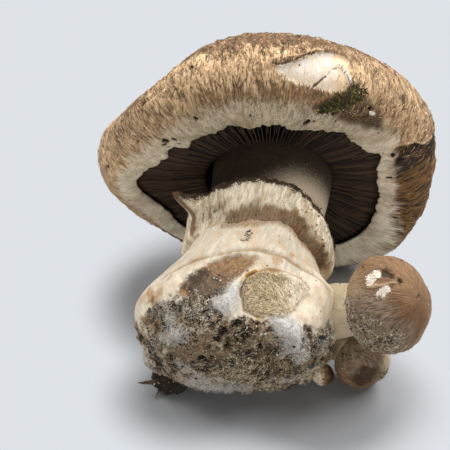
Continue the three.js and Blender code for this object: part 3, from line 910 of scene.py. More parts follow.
def cap_finish(own):
    skin = Finish("cap skin", roughness=0.78)
    reach = skin.painted("reach")
    wander = skin.stirred(skin.along(1, 1), 5, 1.1)
    fibre = skin.fibrous(wander, 0.5, 4, 3, 0.62)
    hair = skin.fibrous(wander, 0.3, 2.4)
    tuft = skin.fibrous(wander, 1.6, 4, 2.5)
    flakes = skin.gaps(skin.scaled(skin.stirred(wander, 1.2, 0.35), 1.3, 3), 0.1)
    fine = skin.clouds(0.42, 2)
    blotch = skin.clouds(9, 3)
    # hollow darkens the skin where its relief sinks: painted shade.
    hollow = skin.painted("hollow")
    left = skin.painted("left")
    weave = fibre * 0.6 + hair * 0.4

    # The brown skin, from the dome down to the margin.
    dome = skin.graded(weave + hollow * -0.2, 0.42, 0.6, own.dome * 0.66, own.dome * 1.26)
    tan = skin.graded(weave + hollow * -0.15, 0.42, 0.6, own.tan * 0.52, own.tan * 1.2)
    light_tan = skin.graded(weave, 0.42, 0.58, own.tan * 0.68, own.straw * 0.88)
    tan = skin.mix(left * skin.step(tuft, 0.3, 0.55, 0.55, 1), tan, light_tan)
    felted = skin.clouds(1.5, 4, skin.stirred(skin.place, 4, 2), 0.65)
    crown = skin.graded(felted, 0.4, 0.6, own.dome * 0.64, own.dome * 1.2)
    dome = skin.mix(skin.there("crown", 0.2, 0.8, (felted, 0.8)), dome, crown)
    skin.colour(skin.graded(reach + (blotch - 0.5) * 20 + (tuft - 0.5) * 12, 16, 25, tan, dome))
    patchy = skin.step(tuft * 0.5 + blotch * 0.5, 0.4, 0.6, 0.1, 0.75)
    skin.lay(skin.painted("tan") * patchy, own.straw * 0.76)
    skin.lay(skin.painted("low") * skin.step(weave, 0.4, 0.56, 0.15, 0.75), own.straw)
    skin.lay(skin.step(blotch, 0.42, 0.6, 0, 0.35), own.dome * 0.9)
    straw = skin.graded(weave, 0.39, 0.52, own.tan * 0.85, own.straw)
    straw_there = skin.there("straw", 0.1, 0.95, (tuft, 2.4), (blotch, 2.4))
    skin.lay(straw_there * skin.step(reach, 33, 42, 1, 0.35), straw)
    # Painted shade in the low places of the skin.
    pitted = skin.step(tuft + hollow * -0.5, 0.28, 0.4, 1, 0) * skin.step(reach, 10, 18)
    skin.lay(pitted * 0.7, own.bruise * 1.2)
    scaly = flakes * skin.step(reach + (blotch - 0.5) * 16, 12, 17) * skin.step(tuft, 0.4, 0.55, 1, 0.15)
    skin.lay(scaly * 0.6, own.bruise * 0.8)
    pits = skin.specks(0.36, 0.15, skin.along(1, 1.6)) * skin.step(reach + (blotch - 0.5) * 20, 13, 19)
    skin.lay(pits * 0.85, own.bruise * 0.5)
    shaded = skin.painted("shaded")
    bands = skin.fibrous(wander, 1.3, 9)
    ochre = skin.graded(hair * 0.4 + fibre * 0.6, 0.4, 0.58, *FACE_OCHRE)
    streaks = skin.step(fibre * 0.4 + bands * 0.6 - shaded * 0.1, 0.38, 0.52, 1, 0)
    face = skin.mix(streaks * 0.85, skin.mix(shaded * 0.5, ochre, own.bruise * 0.8), own.bruise * 0.2)
    skin.lay(skin.there("face", 0.3, 0.6, (tuft, 0.9)), face)

    # The pale felt round the mouth. Where rim is painted, away from the side that faces up, it is paler
    # still: painted light where the lamps reach less.
    rim = skin.painted("rim")
    pale = skin.mix(rim, own.felt * 1.14, LIT_RIM_CREAM)
    deep = skin.mix(rim, own.felt * 0.54, own.felt * 1.4)
    felt_tone = skin.graded(hair * 0.4 + fine * 0.4 + tuft * 0.4, 0.5, 0.68, deep, pale)
    felt_tone = skin.mix(skin.step(blotch, 0.48, 0.64, 0, 0.35), felt_tone, own.tan * 0.95)
    felt_there = skin.there("felt", -2.6, 2, (weave, 9), (tuft, 4))
    skin.lay(felt_there, felt_tone)
    dust = skin.specks(0.26, 0.06, seed=4.0) * skin.step(reach, 0, 9, 0.9, 0.3)
    skin.lay(dust, own.bruise * 0.6)

    # The wound, its lifted skin, and dirt.
    frayed = (hair - 0.5) * skin.step(reach, 14.5, 19, 5, 0.7) + (fine - 0.5) * 0.7
    wound = skin.painted("wound") + frayed
    shreds = skin.fibrous(wander, 0.5, 3.5)
    cream = skin.graded(shreds, 0.42, 0.56, own.straw * 0.78, own.flesh * 0.9)
    torn = skin.graded(reach + (tuft - 0.5) * 5, 15, 18.5, cream, own.flesh)
    torn = skin.mix(skin.step(shreds * 0.5 + tuft * 0.5, 0.45, 0.56, 0, 0.5), torn, own.straw * 0.8)
    torn = skin.mix(skin.step(skin.painted("tan") + (tuft - 0.5), 0, 0.5, 0, 0.8), torn, own.straw * 0.78)
    skin.lay(skin.step(wound, -0.25, 0.2), torn)
    # The dark strip along the lifted skin over the wound: partly its brown edge, partly painted shadow
    # under the lift.
    edges = skin.painted("lip") + (tuft - 0.5) * 1.6 + (fine - 0.5) * 0.6
    skin.lay(skin.step(edges, 0, 0.3), skin.graded(fine, 0.4, 0.6, own.bruise, own.tan * 0.55))
    ledge = skin.graded(hair, 0.4, 0.55, own.tan * 0.6, own.flesh)
    skin.lay(skin.there("ledge", 0.1, 0.4, (fine, 1)), ledge)
    cracks = skin.there("crack", -0.05, 0.1, (fine, 0.25))
    skin.lay(cracks * 0.9, own.bruise * 0.9)
    flap = skin.there("flap", 0.4, 0.8, (fine, 1), (hair, 1.6))
    skin.lay(flap * 0.8, own.straw * 0.86)
    skin.lay(skin.there("fold", 0.3, 0.7, (fine, 1)), own.bruise * 0.6)
    smudge = skin.there("smudge", -1.2, 1.4, (tuft, 4), (fine, 1))
    sooty = skin.graded(fine * 0.5 + tuft * 0.5, 0.42, 0.6, own.bruise * 0.45, own.tan * 0.5)
    skin.lay(smudge * 0.92, sooty)
    dirt = skin.there("dirt", 0.9, 1.7, (tuft, 4), (fine, 3))
    skin.lay(dirt * 0.85, skin.graded(fine, 0.4, 0.6, own.bruise * 0.5, own.tan * 0.5))
    skin.lay(skin.there("fleck", 0, 0.2), own.flesh)
    # The holes are painted nearly black: painted shade inside them.
    skin.lay(skin.there("holes", -0.2, 0.15, (fine, 0.5)), own.bruise * 0.3)
    inner = skin.step(reach, -0.8, -0.1, 1, 0)
    skin.lay(inner, own.bruise * 0.35)
    skin.gloss(skin.step(fibre, 0.3, 0.7, 0.9, 0.7))
    smoother = skin.step(skin.painted("wound"), -0.2, 0.2, 1, 0.35)
    ridges = fibre * 0.5 + hair * 0.3 + tuft * 0.35 + fine * 0.16 - pits * 0.35 - scaly * 0.25
    skin.relief(ridges * smoother)
    return skin.material


def cap_fibres(count, rng):
    """Fibres that lie down over the skin towards the margin."""
    places, normals, shaggy = surface_of("cap_skin", "shaggy")
    light = surface_of("cap_skin", "light")[2]
    weight = np.clip(shaggy, 0, 1) * (places[:, 2] > 0.5)
    chosen = rng.choice(len(weight), size=count, p=weight / weight.sum())
    down = np.array(LEANING.to_3x3() @ Vector((0, 0, -1)))
    way = unit(np.broadcast_to(down, (count, 3))) + rng.normal(0, 0.3, (count, 3))
    sizes = np.stack([rng.uniform(0.9, 2.7, count), rng.uniform(0.14, 0.34, count)], axis=-1)
    fibres = strands(places[chosen], normals[chosen], way, sizes, 0.3, rng)
    fibres.paint(light=np.repeat(light[chosen], fibres.count // count))
    return fibres


def fibre_finish(own):
    fibres = Finish("cap fibres", roughness=0.8)
    tint = fibres.painted("tint")
    dark = fibres.mix(tint, own.bruise * 1.2, own.tan * 1.1)
    pale = fibres.mix(tint, own.tan * 0.95, own.straw * 0.98)
    fibres.colour(fibres.mix(fibres.there("light", 0.1, 0.8, (tint, 0.8)), dark, pale))
    return fibres.material


# --------------------
# The gills


def gill_shape(count, thickness):
    """Blades that hang from the cap's roof. Between whole ones stand short and shorter ones."""
    blade = bmesh.new()
    bmesh.ops.create_cube(blade, size=1)
    lengthwise = [e for e in blade.edges if abs(e.verts[0].co.x - e.verts[1].co.x) > 0.5]
    bmesh.ops.subdivide_edges(blade, edges=lengthwise, cuts=13, use_grid_fill=True)
    shape, points = copies(blade, count)
    index = np.arange(count)[:, None]
    whole = index % 2 == 0
    rng = np.random.default_rng(GILL_SEED)
    start = np.array(GILL_STARTS)[index % 4] + np.where(whole, 0, rng.uniform(-2.2, 2.2, (count, 1)))
    angle = 360 * (index + rng.uniform(-0.12, 0.12, (count, 1))) / count - 180
    along = points[..., 0] + 0.5
    mouth = nicks(MOUTH_LOBES, angle)
    radius = start + (CHAMBER_RADIUS + CHAMBER_SHARE * mouth + 0.3 - start) * along
    wall = MOUTH_RADIUS + 0.6 + mouth
    heel, belly, end = GILL_EDGE_LEVELS
    edge = np.interp(radius, (GILL_STARTS[0], GILL_BELLY_RADIUS), (heel, belly))
    beyond = (radius - wall) / (CHAMBER_RADIUS + CHAMBER_SHARE * mouth - wall)
    edge = np.where(beyond > 0, belly + (end - belly) * np.clip(beyond, 0, 1), edge)
    climb = smooth(radius - start, 0, np.where(whole, 1.2, 3.4))
    edge = ROOF_LEVEL + (edge - ROOF_LEVEL) * climb
    where = np.stack([radius, 3.1 * index + 0 * radius, 0 * radius], axis=-1).reshape(-1, 3)
    edge = edge + 0.3 * noise(where, (2.5, 1, 1), 3).reshape(radius.shape) * climb
    low = points[..., 2] < 0
    level = np.where(low, edge, ROOF_LEVEL + 0.4)
    sway = 0.16 * noise(where, (7, 1, 1), 5) + 0.08 * noise(where, (2.4, 1, 1), 6)
    sway = sway.reshape(radius.shape)
    lean = rng.uniform(-0.14, 0.14, (count, 1))
    sideways = points[..., 1] * thickness * np.where(low, 0.5, 1) + np.where(low, sway + lean, 0.3 * sway)
    turn = np.radians(angle)
    points[..., 0] = radius * np.cos(turn) - sideways * np.sin(turn)
    points[..., 1] = radius * np.sin(turn) + sideways * np.cos(turn)
    points[..., 2] = level
    shape.points = points.reshape(-1, 3)
    shape.paint(
        edge=np.where(low, 1.0, 0.0).ravel(), tint=np.repeat(rng.uniform(0, 1, count), points.shape[1]),
        grain=np.stack([radius * 0.3, 7.7 * index + 0 * radius, level], axis=-1).reshape(-1, 3),
    )
    return shape


def gill_finish(own):
    gills = Finish("gills", roughness=0.85)
    streak = gills.clouds(1, 2, gills.along(1.5, 2.0))
    # Partly the blades' own dark brown, partly painted shade inside the cap's hollow.
    face = gills.graded(streak, 0.3, 0.7, own.face * 0.7, own.face * 1.3)
    share = gills.there("edge", 0.9, 0.99, (streak, 0.05))
    gills.colour(gills.mix(share * (0.12 + 0.66 * gills.painted("tint")), face, own.edge))
    return gills.material


# --------------------
# The stem and its foot

# Features of the stem, as (angle round the stem's own middle, level).
SOIL_TOP = (
    (-180, -56), (-166, -56.5), (-152, -56.8), (-140, -57.5), (-132, -57.5), (-125, -57), (-118, -57.2),
    (-110, -57.8), (-104, -58.8), (-100, -62.5), (-92, -65), (-79, -64.6), (-66, -65), (-50, -64.8),
    (-35, -64.2), (-28, -62.5), (-22, -61.2), (-15, -59.2), (-8, -59.8), (8, -61), (30, -60), (60, -58),
    (110, -56), (150, -55), (180, -56),
)
FOLD_LINE = (
    (-152, -50.5), (-140, -49), (-127, -47.2), (-107, -46.2), (-92.5, -45), (-78, -44.4),
    (-62.5, -44.9), (-43, -45.9), (-28, -47.8), (-20, -50.5),
)
PATCH_CRACK = ((-81.5, -58), (-79, -55.4), (-76.5, -53.2), (-72.5, -52))
PATCH_TOP = ((-73, -51.8), (-63, -49.9), (-50, -49.4), (-40, -50.2), (-33, -52.6))
STAIN = (
    (-125, -56), (-119, -53.4), (-112.5, -51.2), (-106, -48.2), (-97.5, -46.6), (-86, -46.2),
    (-75, -46.8), (-75.5, -49.5), (-79.5, -52.2), (-87, -54.8), (-93.5, -58), (-98, -60.5),
    (-105.5, -59.8), (-112, -58.5), (-120, -58.2),
)
PATCH = (
    (-80, -54), (-76, -52.2), (-63, -50.4), (-47, -50.2), (-36, -51.2), (-32, -54), (-36, -58),
    (-42, -61), (-48, -63), (-66, -64.3), (-79, -63), (-82, -58),
)
PATCH_HEART = (4, -42, 33)
MYCELIUM = (
    (
        (-82, -54.6), (-80.5, -57.5), (-81, -60.3), (-83, -62.6), (-89, -64.6), (-98, -63.8),
        (-103, -61.8), (-102, -60.4), (-94, -57.8), (-88, -55.4),
    ),
    (
        (-58, -63.6), (-50, -62.8), (-40, -62.4), (-32, -64), (-22, -67.6), (-26, -70), (-38, -68.8),
        (-52, -67),
    ),
    ((-148, -64.5), (-139, -64.2), (-135, -66), (-143, -67.5)),
    ((92, -69.8), (120, -68.8), (150, -69.8), (150, -71.8), (100, -71.5)),
    ((42, -54), (58, -56), (52, -60), (40, -58)),
    ((150, -58), (165, -60), (156, -64), (146, -61)),
)  # outlines
# Places on the foot as they lie on the table, each with how wide the spot is.
CAVITIES = (
    (-10.2, -48.7, 33.8, 1.5), (-13.7, -49.5, 31.8, 1.4), (-7.5, -50.1, 30.5, 1.7),
    (-12.1, -50.1, 27.2, 1.3), (-15.9, -49.8, 29.3, 1.2), (-4.5, -49.9, 32, 1.5),
    (-9.9, -50.1, 24.9, 1.1), (-22.4, -43.9, 36.1, 0.9), (-18.3, -46.2, 36, 1.1),
    (-2.9, -50.3, 27.3, 1.3), (-19, -48.3, 20.5, 1.4), (0.7, -49.3, 24.3, 1.2), (-5, -49, 18, 1.5),
    (8, -43, 14, 1.2), (20, -20, 8, 1.6), (-30, -12, 12, 1.6), (-34, -20, 26, 1.3),
)
PEAT = (
    (-8, -50, 30, 6), (-16, -49, 20.5, 5), (-3, -49.5, 25, 6), (-1, -48, 17, 6), (4, -45, 16, 4),
    (24, -18, 14, 9), (-33, -14, 16, 8), (-24, -44, 37, 2.5), (-30, -10, 36, 5),
)
TAN_PATCHES = (
    (-21.5, -48.5, 24, 3.8), (-25.5, -46.5, 22, 3.2), (-17.7, -49.7, 28.4, 2.2), (-14, -50, 24, 2.6),
    (3, -48, 29, 2), (-12, -47.5, 36.5, 1.8), (10, -43, 17, 3), (4, -46.8, 19, 3), (-16, -46, 15, 2.6),
    (30, -14, 24, 5), (-36, -24, 20, 4),
)
BARE = (
    (-34, -31, 28, 6), (-35.5, -35, 22, 3.6), (-34.5, -33, 13, 3), (-25, -41, 7.5, 2.6),
    (13, -38, 30, 5), (14, -39.5, 26, 2.6), (-35, -24, 34, 5), (34, -12, 32, 6), (4, -43, 8, 2.2),
    (10.6, -39, 7.6, 4.4),
)
WISPS = (
    (-28, -43.4, 30.6, 2.6), (-25.4, -46.3, 28, 2.6), (-29, -44, 24.6, 2.6), (-24, -45.5, 15.9, 2.2),
    (-18.5, -44, 10, 2.6), (-12.9, -41.2, 6.4, 3), (-7.3, -41.5, 6.3, 3), (-19.8, -45, 13.5, 2),
    (9, -45, 20, 2.4), (5.4, -42, 8.9, 2.2), (11, -41, 12, 2), (28, -8, 10, 4), (-32, -18, 8, 3),
)
SAND = (
    (-31, -38, 32, 4), (-25, -42, 35.5, 3.6), (-19, -45.5, 34.5, 3.4), (15, -38, 23.5, 4),
    (12, -42, 21, 3.4), (12, -36, 8, 3), (-33, -39, 22, 3.4), (8, -44, 27, 2), (26, -20, 22, 5),
)
RUST = (
    (-146.5, -56, 2.2), (-141.5, -54.4, 1.6), (-121.5, -57, 1.6), (-135, -50.6, 1.2), (-50, -43.6, 1.3),
    (-67, -65, 1.8), (-60, -46.5, 2),
)
# Dark smears round the bruise, as places.
SMEARS = (
    (-21, -38, 40.6, 2.2), (-18.6, -36.6, 41.6, 1.4), (-13.6, -43, 39.4, 1.9), (-23.5, -40, 38.4, 1.6),
)
SPECK_CLUSTER = ((-92, -38.2), (-90, -41.2))


def stem_at(level):
    """The stem's radius, and how far its middle is from the cap's axis, on smooth curves."""
    rows = np.array(STEM_ROWS[::-1], float)
    slope = np.gradient(rows[:, 1:], axis=0) / np.gradient(rows[:, 0])[:, None]
    low = np.clip(np.searchsorted(rows[:, 0], level) - 1, 0, len(rows) - 2)
    span = rows[low + 1, 0] - rows[low, 0]
    t = np.clip((level - rows[low, 0]) / span, 0, 1)[:, None]
    ease = t * t * (3 - 2 * t)
    bend = t * (1 - t) * ((1 - t) * slope[low] - t * slope[low + 1])
    return (rows[low, 1:] + (rows[low + 1, 1:] - rows[low, 1:]) * ease + span[:, None] * bend).T


def stem_shape():
    top, foot = STEM_ROWS[0][0], STEM_ROWS[-1]
    levels = np.linspace(top, foot[0], 185)
    radii = stem_at(levels)[0]
    end = arc((0, foot[0]), (foot[1], foot[0] - FOOT_TIP_LEVEL), 0, -90, 40)
    outline = joined([(0, top), (radii[0], top)], np.stack([radii, levels], axis=-1), end)
    outline, _ = spaced(outline, (radii[0], 8), (radii[0] + 26, 50), (None, 138))
    stem = Turned(outline, 432, crowd=0.35)
    angle, level = stem.angle, stem.level
    radius, side, down = stem_at(level)
    edge = np.clip(stem.radius / np.maximum(radius, 1), 0, 1)
    radius = stem.radius + edge * swellings(FOOT_LOBES, angle, level)
    stem.set_round(radius, level, side, down)

    grain = stem.grain(STEM_GIRTH, level)
    fold_gap = level - np.interp(angle, *np.transpose(FOLD_LINE)) + 0.4 * noise(grain, 4, 3)
    folded = between(angle, -146, -20, 14)
    second = line_distance(angle, level, PATCH_CRACK, 24) + 0.25 * noise(grain, 2, 4)
    stain = inside(angle, level, STAIN, 23) + 0.5 * noise(grain, 2.5, 5, 2)
    patch = inside(angle, level, PATCH, 25) + 0.6 * noise(grain, 3, 6, 2)
    pads = np.full(stem.count, FAR_OUT)
    for outline in MYCELIUM:
        pads = np.maximum(pads, inside(angle, level, outline, 23))
    # The first pad, which faces the lamps above, is cut back so that it shows greyer: painted shade.
    pads += 0.6 * noise(grain, 2.6, 7, 2) - 0.7 * between(angle, -104, -78, 3)
    lying = stem.points @ np.array(LEANING.to_3x3()).T + np.array(CAP_PLACE)
    ragged = noise(lying, 3, 8, 2)
    bare = balls(lying, BARE) + 1.2 * ragged
    sand = balls(lying, SAND, 1.4, 2.6, 42)
    wisps = balls(lying, WISPS, 1.3, 2.2, 43)
    patches = balls(lying, TAN_PATCHES, 1.2, 2.8, 44)
    soil = round_table(angle, SOIL_TOP) - level + 1.5 * ragged + 0.8 * noise(lying, 1.2, 45)
    soil -= 2.5 * smooth(patch, -1, 0.5)
    soil -= 3.2 * smooth(pads, -0.4, 0.6) + 2.5 * smooth(bare, -0.5, 1.5)
    cavities = balls(lying, CAVITIES, 1.1, 1.7, 9) - 0.3
    soiled = smooth(soil, -0.5, 1.5)

    rise = 0.25 * noise(grain, (4, 4, 18), 1) * smooth(-level, 12, 22)
    rise += 0.05 * noise(grain, (1.5, 1.5, 9), 2)
    rise += folded * (0.4 * hump(fold_gap - 1.1, 1.1) - 0.4 * hump(fold_gap, 0.35))
    rise += 0.35 * hump(second - 0.8, 0.4) - 0.9 * hump(second, 0.4)
    rise -= 0.4 * smooth(stain, -0.5, 1)
    far_side = smooth(lying[:, 0], -1, 6)
    felted = 0.5 + 0.12 * noise(grain, (1.2, 1.2, 2.4), 11, 2)
    rise += smooth(patch, -0.5, 1.2) * (1 - 0.8 * far_side) * felted
    rise -= 0.6 * hump(patch, 0.5) * (1 - far_side)
    rough = (1 - 0.6 * smooth(patches, -0.5, 1)) * (1 - 0.6 * smooth(bare, -0.5, 1))
    swirled = lying + 1.8 * np.stack([noise(lying, 5, seed) for seed in (61, 62, 63)], axis=-1)
    strands_there = smooth(1 - 2.6 * np.abs(noise(swirled, (5, 5, 2.6), 47)), 0.45, 0.95)
    crust = 0.9 * (0.6 - crumbs(swirled, 2.6, 13)) + 0.5 * noise(swirled, 3.4, 48, 2)
    crust = rough * (crust + 0.45 * noise(lying, 1.1, 14, 2) + 0.3 * strands_there)
    rise += soiled * (0.9 * noise(lying, 6, 12, 2) + crust)
    rise += smooth(pads, -1.5, 2.8) * (1.5 + 0.2 * noise(lying, 1.6, 15, 2)) + 0.35 * smooth(wisps, -0.6, 1)
    rise -= 1.9 * smooth(cavities, -0.5, 0.8)
    stem.push(rise * smooth(level, FOOT_TIP_LEVEL - 0.5, FOOT_TIP_LEVEL + 0.4))

    crease = 1 - line_distance(angle, level, PATCH_TOP, 24) / 0.6
    hairy = smooth(patch, -0.4, 1.2) * (1 - 0.9 * smooth(lying[:, 0], -2, 6)) + 0.05 * soiled
    # Dark spores on the neck, darkest at the top and on the left; they also paint the cap's shadow on the
    # neck.
    spored = 0.8 * smooth(level, -20, -9) * between(angle, -215, -48, 40)
    spored = np.maximum(spored, smooth(level, -22.3, -8.5)) + 0.5 * between(angle, -205, -82, 44)
    cluster = 1.6 - line_distance(angle, level, SPECK_CLUSTER, 20)
    gritty = soiled * (0.25 + smooth(sand, -1, 1.5)) * (1 - 0.85 * smooth(pads, -0.5, 0.5))
    gritty *= (1 - 0.7 * smooth(patches, 0, 1)) * (1 - 0.6 * smooth(bare, 0, 1))
    gritty += 1.2 * smooth(cluster, 0.2, 1.4)
    gritty += 0.12 * smooth(-stain, 1.2, 0) * smooth(-level, 49, 53)
    stem.paint(
        grain=grain, level=level, fold=np.maximum(folded * (1 - np.abs(fold_gap + 0.2) / 0.9), crease),
        second=1 - second / 0.8, smears=balls(lying, SMEARS, 0.8, 1.6, 46), stain=stain, patch=patch,
        pale=smooth(lying[:, 0], -1, 8), pads=pads, soil=soil,
        # crust is the soil's relief, lowered at the cavities; the finish darkens its low places, partly as
        # wet peat, partly as painted shade
        crust=crust - 1.5 * smooth(cavities, -0.5, 0.8), strand=strands_there,
        # veil: the stem under and just below the ring, painted brown: partly stain, partly painted shade
        # under the ring
        veil=smooth(level - round_table(angle, RING_EDGE), -2.6, 0.5) * between(angle, -122, -12, 14),
        hairy=hairy, bare=bare, sand=sand, wisps=wisps, peat=balls(lying, PEAT), patches=patches,
        rust=spots(angle, level, RUST, 22), spores=spored, soiled=gritty,
        woolly=0.35 * smooth(pads, -1.2, 0.4) + 0.5 * smooth(wisps, -0.4, 0.8) * soiled,
    )
    return stem


RUSTY = paint("a47842")
OLD_SKIN = paint("b98f60")
UNDER_VEIL_STAIN_AND_SHADE = paint("5e4023"), paint("ad8757")
NECK_SPORES_AND_SHADE = paint("20150b"), paint("3b2b1a")
CREASE = paint("93703c")
STAIN_LIGHT = paint("5a3f26"), paint("947049")
STAIN_DARK = paint("261b12"), paint("6f553d")
PATCH_FIBRES = paint("a98c63"), paint("efdcb9")
PATCH_SHADE = paint("6f5a38")
PATCH_RIM = paint("8a632f")
CRACK_RIM = paint("b5853f")
DAMP_SOIL = paint("553c24")
TAN_SOIL = paint("59452f"), paint("a08562")
WISP_GREYS = paint("8e897c"), paint("d3d0c6")
WOOL_WHITES = paint("b4b1aa"), paint("eceae6")


def stem_finish(own, soil):
    flesh = Finish("stem flesh", roughness=0.72)
    wander = flesh.stirred(flesh.along(1, 1), 5, 1.2)
    streak = flesh.fibrous(wander, 0.9, 7, 3)
    hair = flesh.clouds(1, 3, flesh.scaled(flesh.stirred(flesh.place, 3, 2.2), 0.4, 1.6), 0.65)
    fine = flesh.clouds(0.5, 3)
    cloud = flesh.clouds(5, 3)
    thread = flesh.clouds(1, 2, flesh.scaled(flesh.stirred(flesh.place, 6, 5), 0.55, 3.4), 0.6)
    crumb = flesh.clouds(1.2, 3, roughness=0.68)
    lump = flesh.clouds(2.8, 3, flesh.stirred(flesh.place, 3, 2), 0.6)
    level = flesh.painted("level")

    flesh.colour(flesh.graded(streak, 0.34, 0.62, own.skin * 0.8, own.skin * 1.1))
    # Painted shade: the upper stem, which faces the lamps above, is painted darker than the foot.
    upper_shade = flesh.step(level + (cloud - 0.5) * 8, -58, -46)
    flesh.lay(upper_shade * 0.9, flesh.graded(streak, 0.34, 0.62, own.skin * 0.6, own.skin * 0.82))
    flesh.lay(flesh.step(cloud + (streak - 0.5) * 0.6, 0.46, 0.7, 0, 0.5), OLD_SKIN)
    # Under and just below the ring the stem is brown: partly stained, partly painted shade under the ring.
    under_veil_stain_and_shade = flesh.there("veil", 0.3, 1, (streak, 1.6), (hair, 1))
    flesh.lay(under_veil_stain_and_shade * 0.75, flesh.graded(hair, 0.4, 0.6, *UNDER_VEIL_STAIN_AND_SHADE))
    neck = flesh.graded(fine * 0.5 + hair * 0.5, 0.4, 0.6, own.neck * 0.72, own.neck)
    # The spores on the neck also stand for the painted shadow of the cap.
    spores = flesh.there("spores", 0, 0.95, (fine, 0.9), (hair, 0.8))
    neck = flesh.mix(spores, neck, flesh.graded(hair, 0.4, 0.6, *NECK_SPORES_AND_SHADE))
    flesh.lay(flesh.step(level, -24, -20), neck)

    # The bruised parts of the foot.
    lines = flesh.there("fold", 0.1, 0.9, (cloud, 1.4), (fine, 0.5))
    flesh.lay(lines * 0.7, CREASE)
    stain_light = flesh.graded(hair * 0.5 + crumb * 0.5, 0.38, 0.6, *STAIN_LIGHT)
    stain_dark = flesh.graded(hair * 0.5 + crumb * 0.5, 0.38, 0.6, *STAIN_DARK)
    stain_tone = flesh.graded(level + (cloud - 0.5) * 9, -57, -50, stain_dark, stain_light)
    stain = flesh.painted("stain") + (cloud - 0.5) * 5 + (hair - 0.5) * 3 + (fine - 0.5) * 1.5
    flesh.lay(flesh.step(stain, -1.6, 1.2) * 0.96, stain_tone)
    smears = flesh.there("smears", -0.8, 1, (crumb, 4), (fine, 2))
    flesh.lay(smears * 0.85, soil.dark * 0.7)
    rust = flesh.there("rust", -0.2, 0.9, (crumb, 3.4))
    flesh.lay(rust * 0.6, RUSTY)

    # The fibrous patch.
    patch = flesh.painted("patch") + (fine - 0.5) * 0.8
    patch_tone = flesh.graded(thread, 0.38, 0.54, *PATCH_FIBRES)
    pale = flesh.painted("pale")
    patch_tone = flesh.mix(pale * flesh.step(cloud, 0.3, 0.6, 0.5, 1), patch_tone, own.skin * 0.84)
    shady = flesh.step(cloud + (thread - 0.5) * 0.4, 0.34, 0.5, 0.5, 0)
    patch_tone = flesh.mix(shady, patch_tone, PATCH_SHADE)
    faded = 1 - pale * flesh.step(cloud + (thread - 0.5), 0.3, 0.6, 0.1, 0.6)
    flesh.lay(flesh.step(patch, -0.6, 0.9) * faded, patch_tone)
    rim = flesh.step(patch, -0.6, -0.1) * flesh.step(patch, 0.1, 0.6, 1, 0)
    rim = rim * flesh.step(cloud, 0.38, 0.55) * (1 - pale)
    flesh.lay(rim * 0.7, PATCH_RIM)
    second = flesh.painted("second") + (fine - 0.5) * 0.6
    flesh.lay(flesh.step(second, -0.8, -0.1), CRACK_RIM)
    flesh.lay(flesh.step(second, 0.25, 0.7), own.stain * 0.2)

    # Soil worked into the skin.
    soil_there = flesh.there("soil", -0.6, 0.8, (crumb, 5), (fine, 2.5))
    peat = flesh.there("peat", -0.5, 3, (cloud, 9), (crumb, 5))
    crust = flesh.painted("crust") + (lump - 0.5) * 4 + (thread - 0.5) * 2.8
    crust = crust + (crumb - 0.5) * 2 + (fine - 0.5) * 1.2 - peat * 0.3
    # The darkest soil lies where the crust is low: partly wet peat, partly painted shade in the crevices.
    dirt = flesh.graded(crust, -0.3, 0.1, soil.dark * 0.45, DAMP_SOIL)
    dirt = flesh.graded(crust, 0, 0.5, dirt, soil.light * 0.74)
    dirt = flesh.graded(crust, 0.55, 1, dirt, soil.sand * 0.72)
    dirt = flesh.mix(flesh.there("strand", 0.4, 0.8, (hair, 2)) * 0.5, dirt, soil.light * 1.2)
    brown = flesh.graded(hair * 0.5 + crumb * 0.5, 0.4, 0.6, own.stain * 0.25, own.stain * 0.95)
    dirt = flesh.mix(flesh.step(cloud, 0.46, 0.62, 0, 0.55), dirt, brown)
    peaty = flesh.graded(crumb * 0.5 + thread * 0.5, 0.42, 0.6, soil.dark * 0.5, own.stain * 0.55)
    dirt = flesh.mix(peat * 0.8, dirt, peaty)
    patches = flesh.there("patches", -0.4, 1, (crumb, 3))
    tan = flesh.graded(hair * 0.6 + fine * 0.4, 0.4, 0.6, *TAN_SOIL)
    dirt = flesh.mix(patches * 0.85, dirt, tan)
    sandy = flesh.there("sand", -0.6, 1.2, (cloud, 3))
    grit = flesh.graded(flesh.clouds(0.34, 2), 0.44, 0.56, soil.dark * 1.2, soil.sand * 1.05)
    dirt = flesh.mix(sandy * 0.75, dirt, grit)
    worn = flesh.there("bare", -0.6, 0.8, (cloud, 3), (crumb, 3))
    dirt = flesh.mix(worn * 0.85, dirt, flesh.graded(crumb, 0.36, 0.6, RUSTY, own.skin))
    flesh.lay(soil_there * 0.96, dirt)
    outline = flesh.there("bare", -1, -0.3, (crumb, 2)) * flesh.step(flesh.painted("bare"), 0, 0.8, 1, 0)
    flesh.lay(outline * flesh.step(cloud, 0.44, 0.58) * (1 - pale) * 0.6, RUSTY)
    specks = flesh.specks(0.3, 0.04, seed=2.0) * flesh.step(level, -34, -40)
    flesh.lay(specks * 0.85, soil.dark)
    # Painted shade in the lowest places of the crust.
    shade_in_low_crust = flesh.step(crust, -0.8, -0.2, 1, 0) * soil_there
    flesh.lay(shade_in_low_crust * 0.92, soil.dark * 0.4)

    # White threads of mycelium.
    wisps = flesh.there("wisps", -0.6, 1.1, (hair, 5), (fine, 2)) * soil_there
    flesh.lay(wisps * 0.85, flesh.graded(fine * 0.5 + thread * 0.5, 0.42, 0.58, *WISP_GREYS))
    pads = flesh.there("pads", -1.8, 1.8, (fine, 3), (hair, 4), (crumb, 4))
    wool = flesh.graded(hair * 0.5 + fine * 0.5, 0.38, 0.6, *WOOL_WHITES)
    flesh.lay(pads, wool)
    flesh.lay(flesh.specks(0.2, 0.1, seed=7.0) * pads * 0.6, soil.dark * 1.5)
    rough = fine * 0.12 + soil_there * (crumb * 0.8 + fine * 0.5) + streak * 0.2
    flesh.relief(rough + flesh.step(patch, 0, 1) * (hair + thread) * 0.4 + pads * hair * 0.35)
    return flesh.material


# --------------------
# The ring

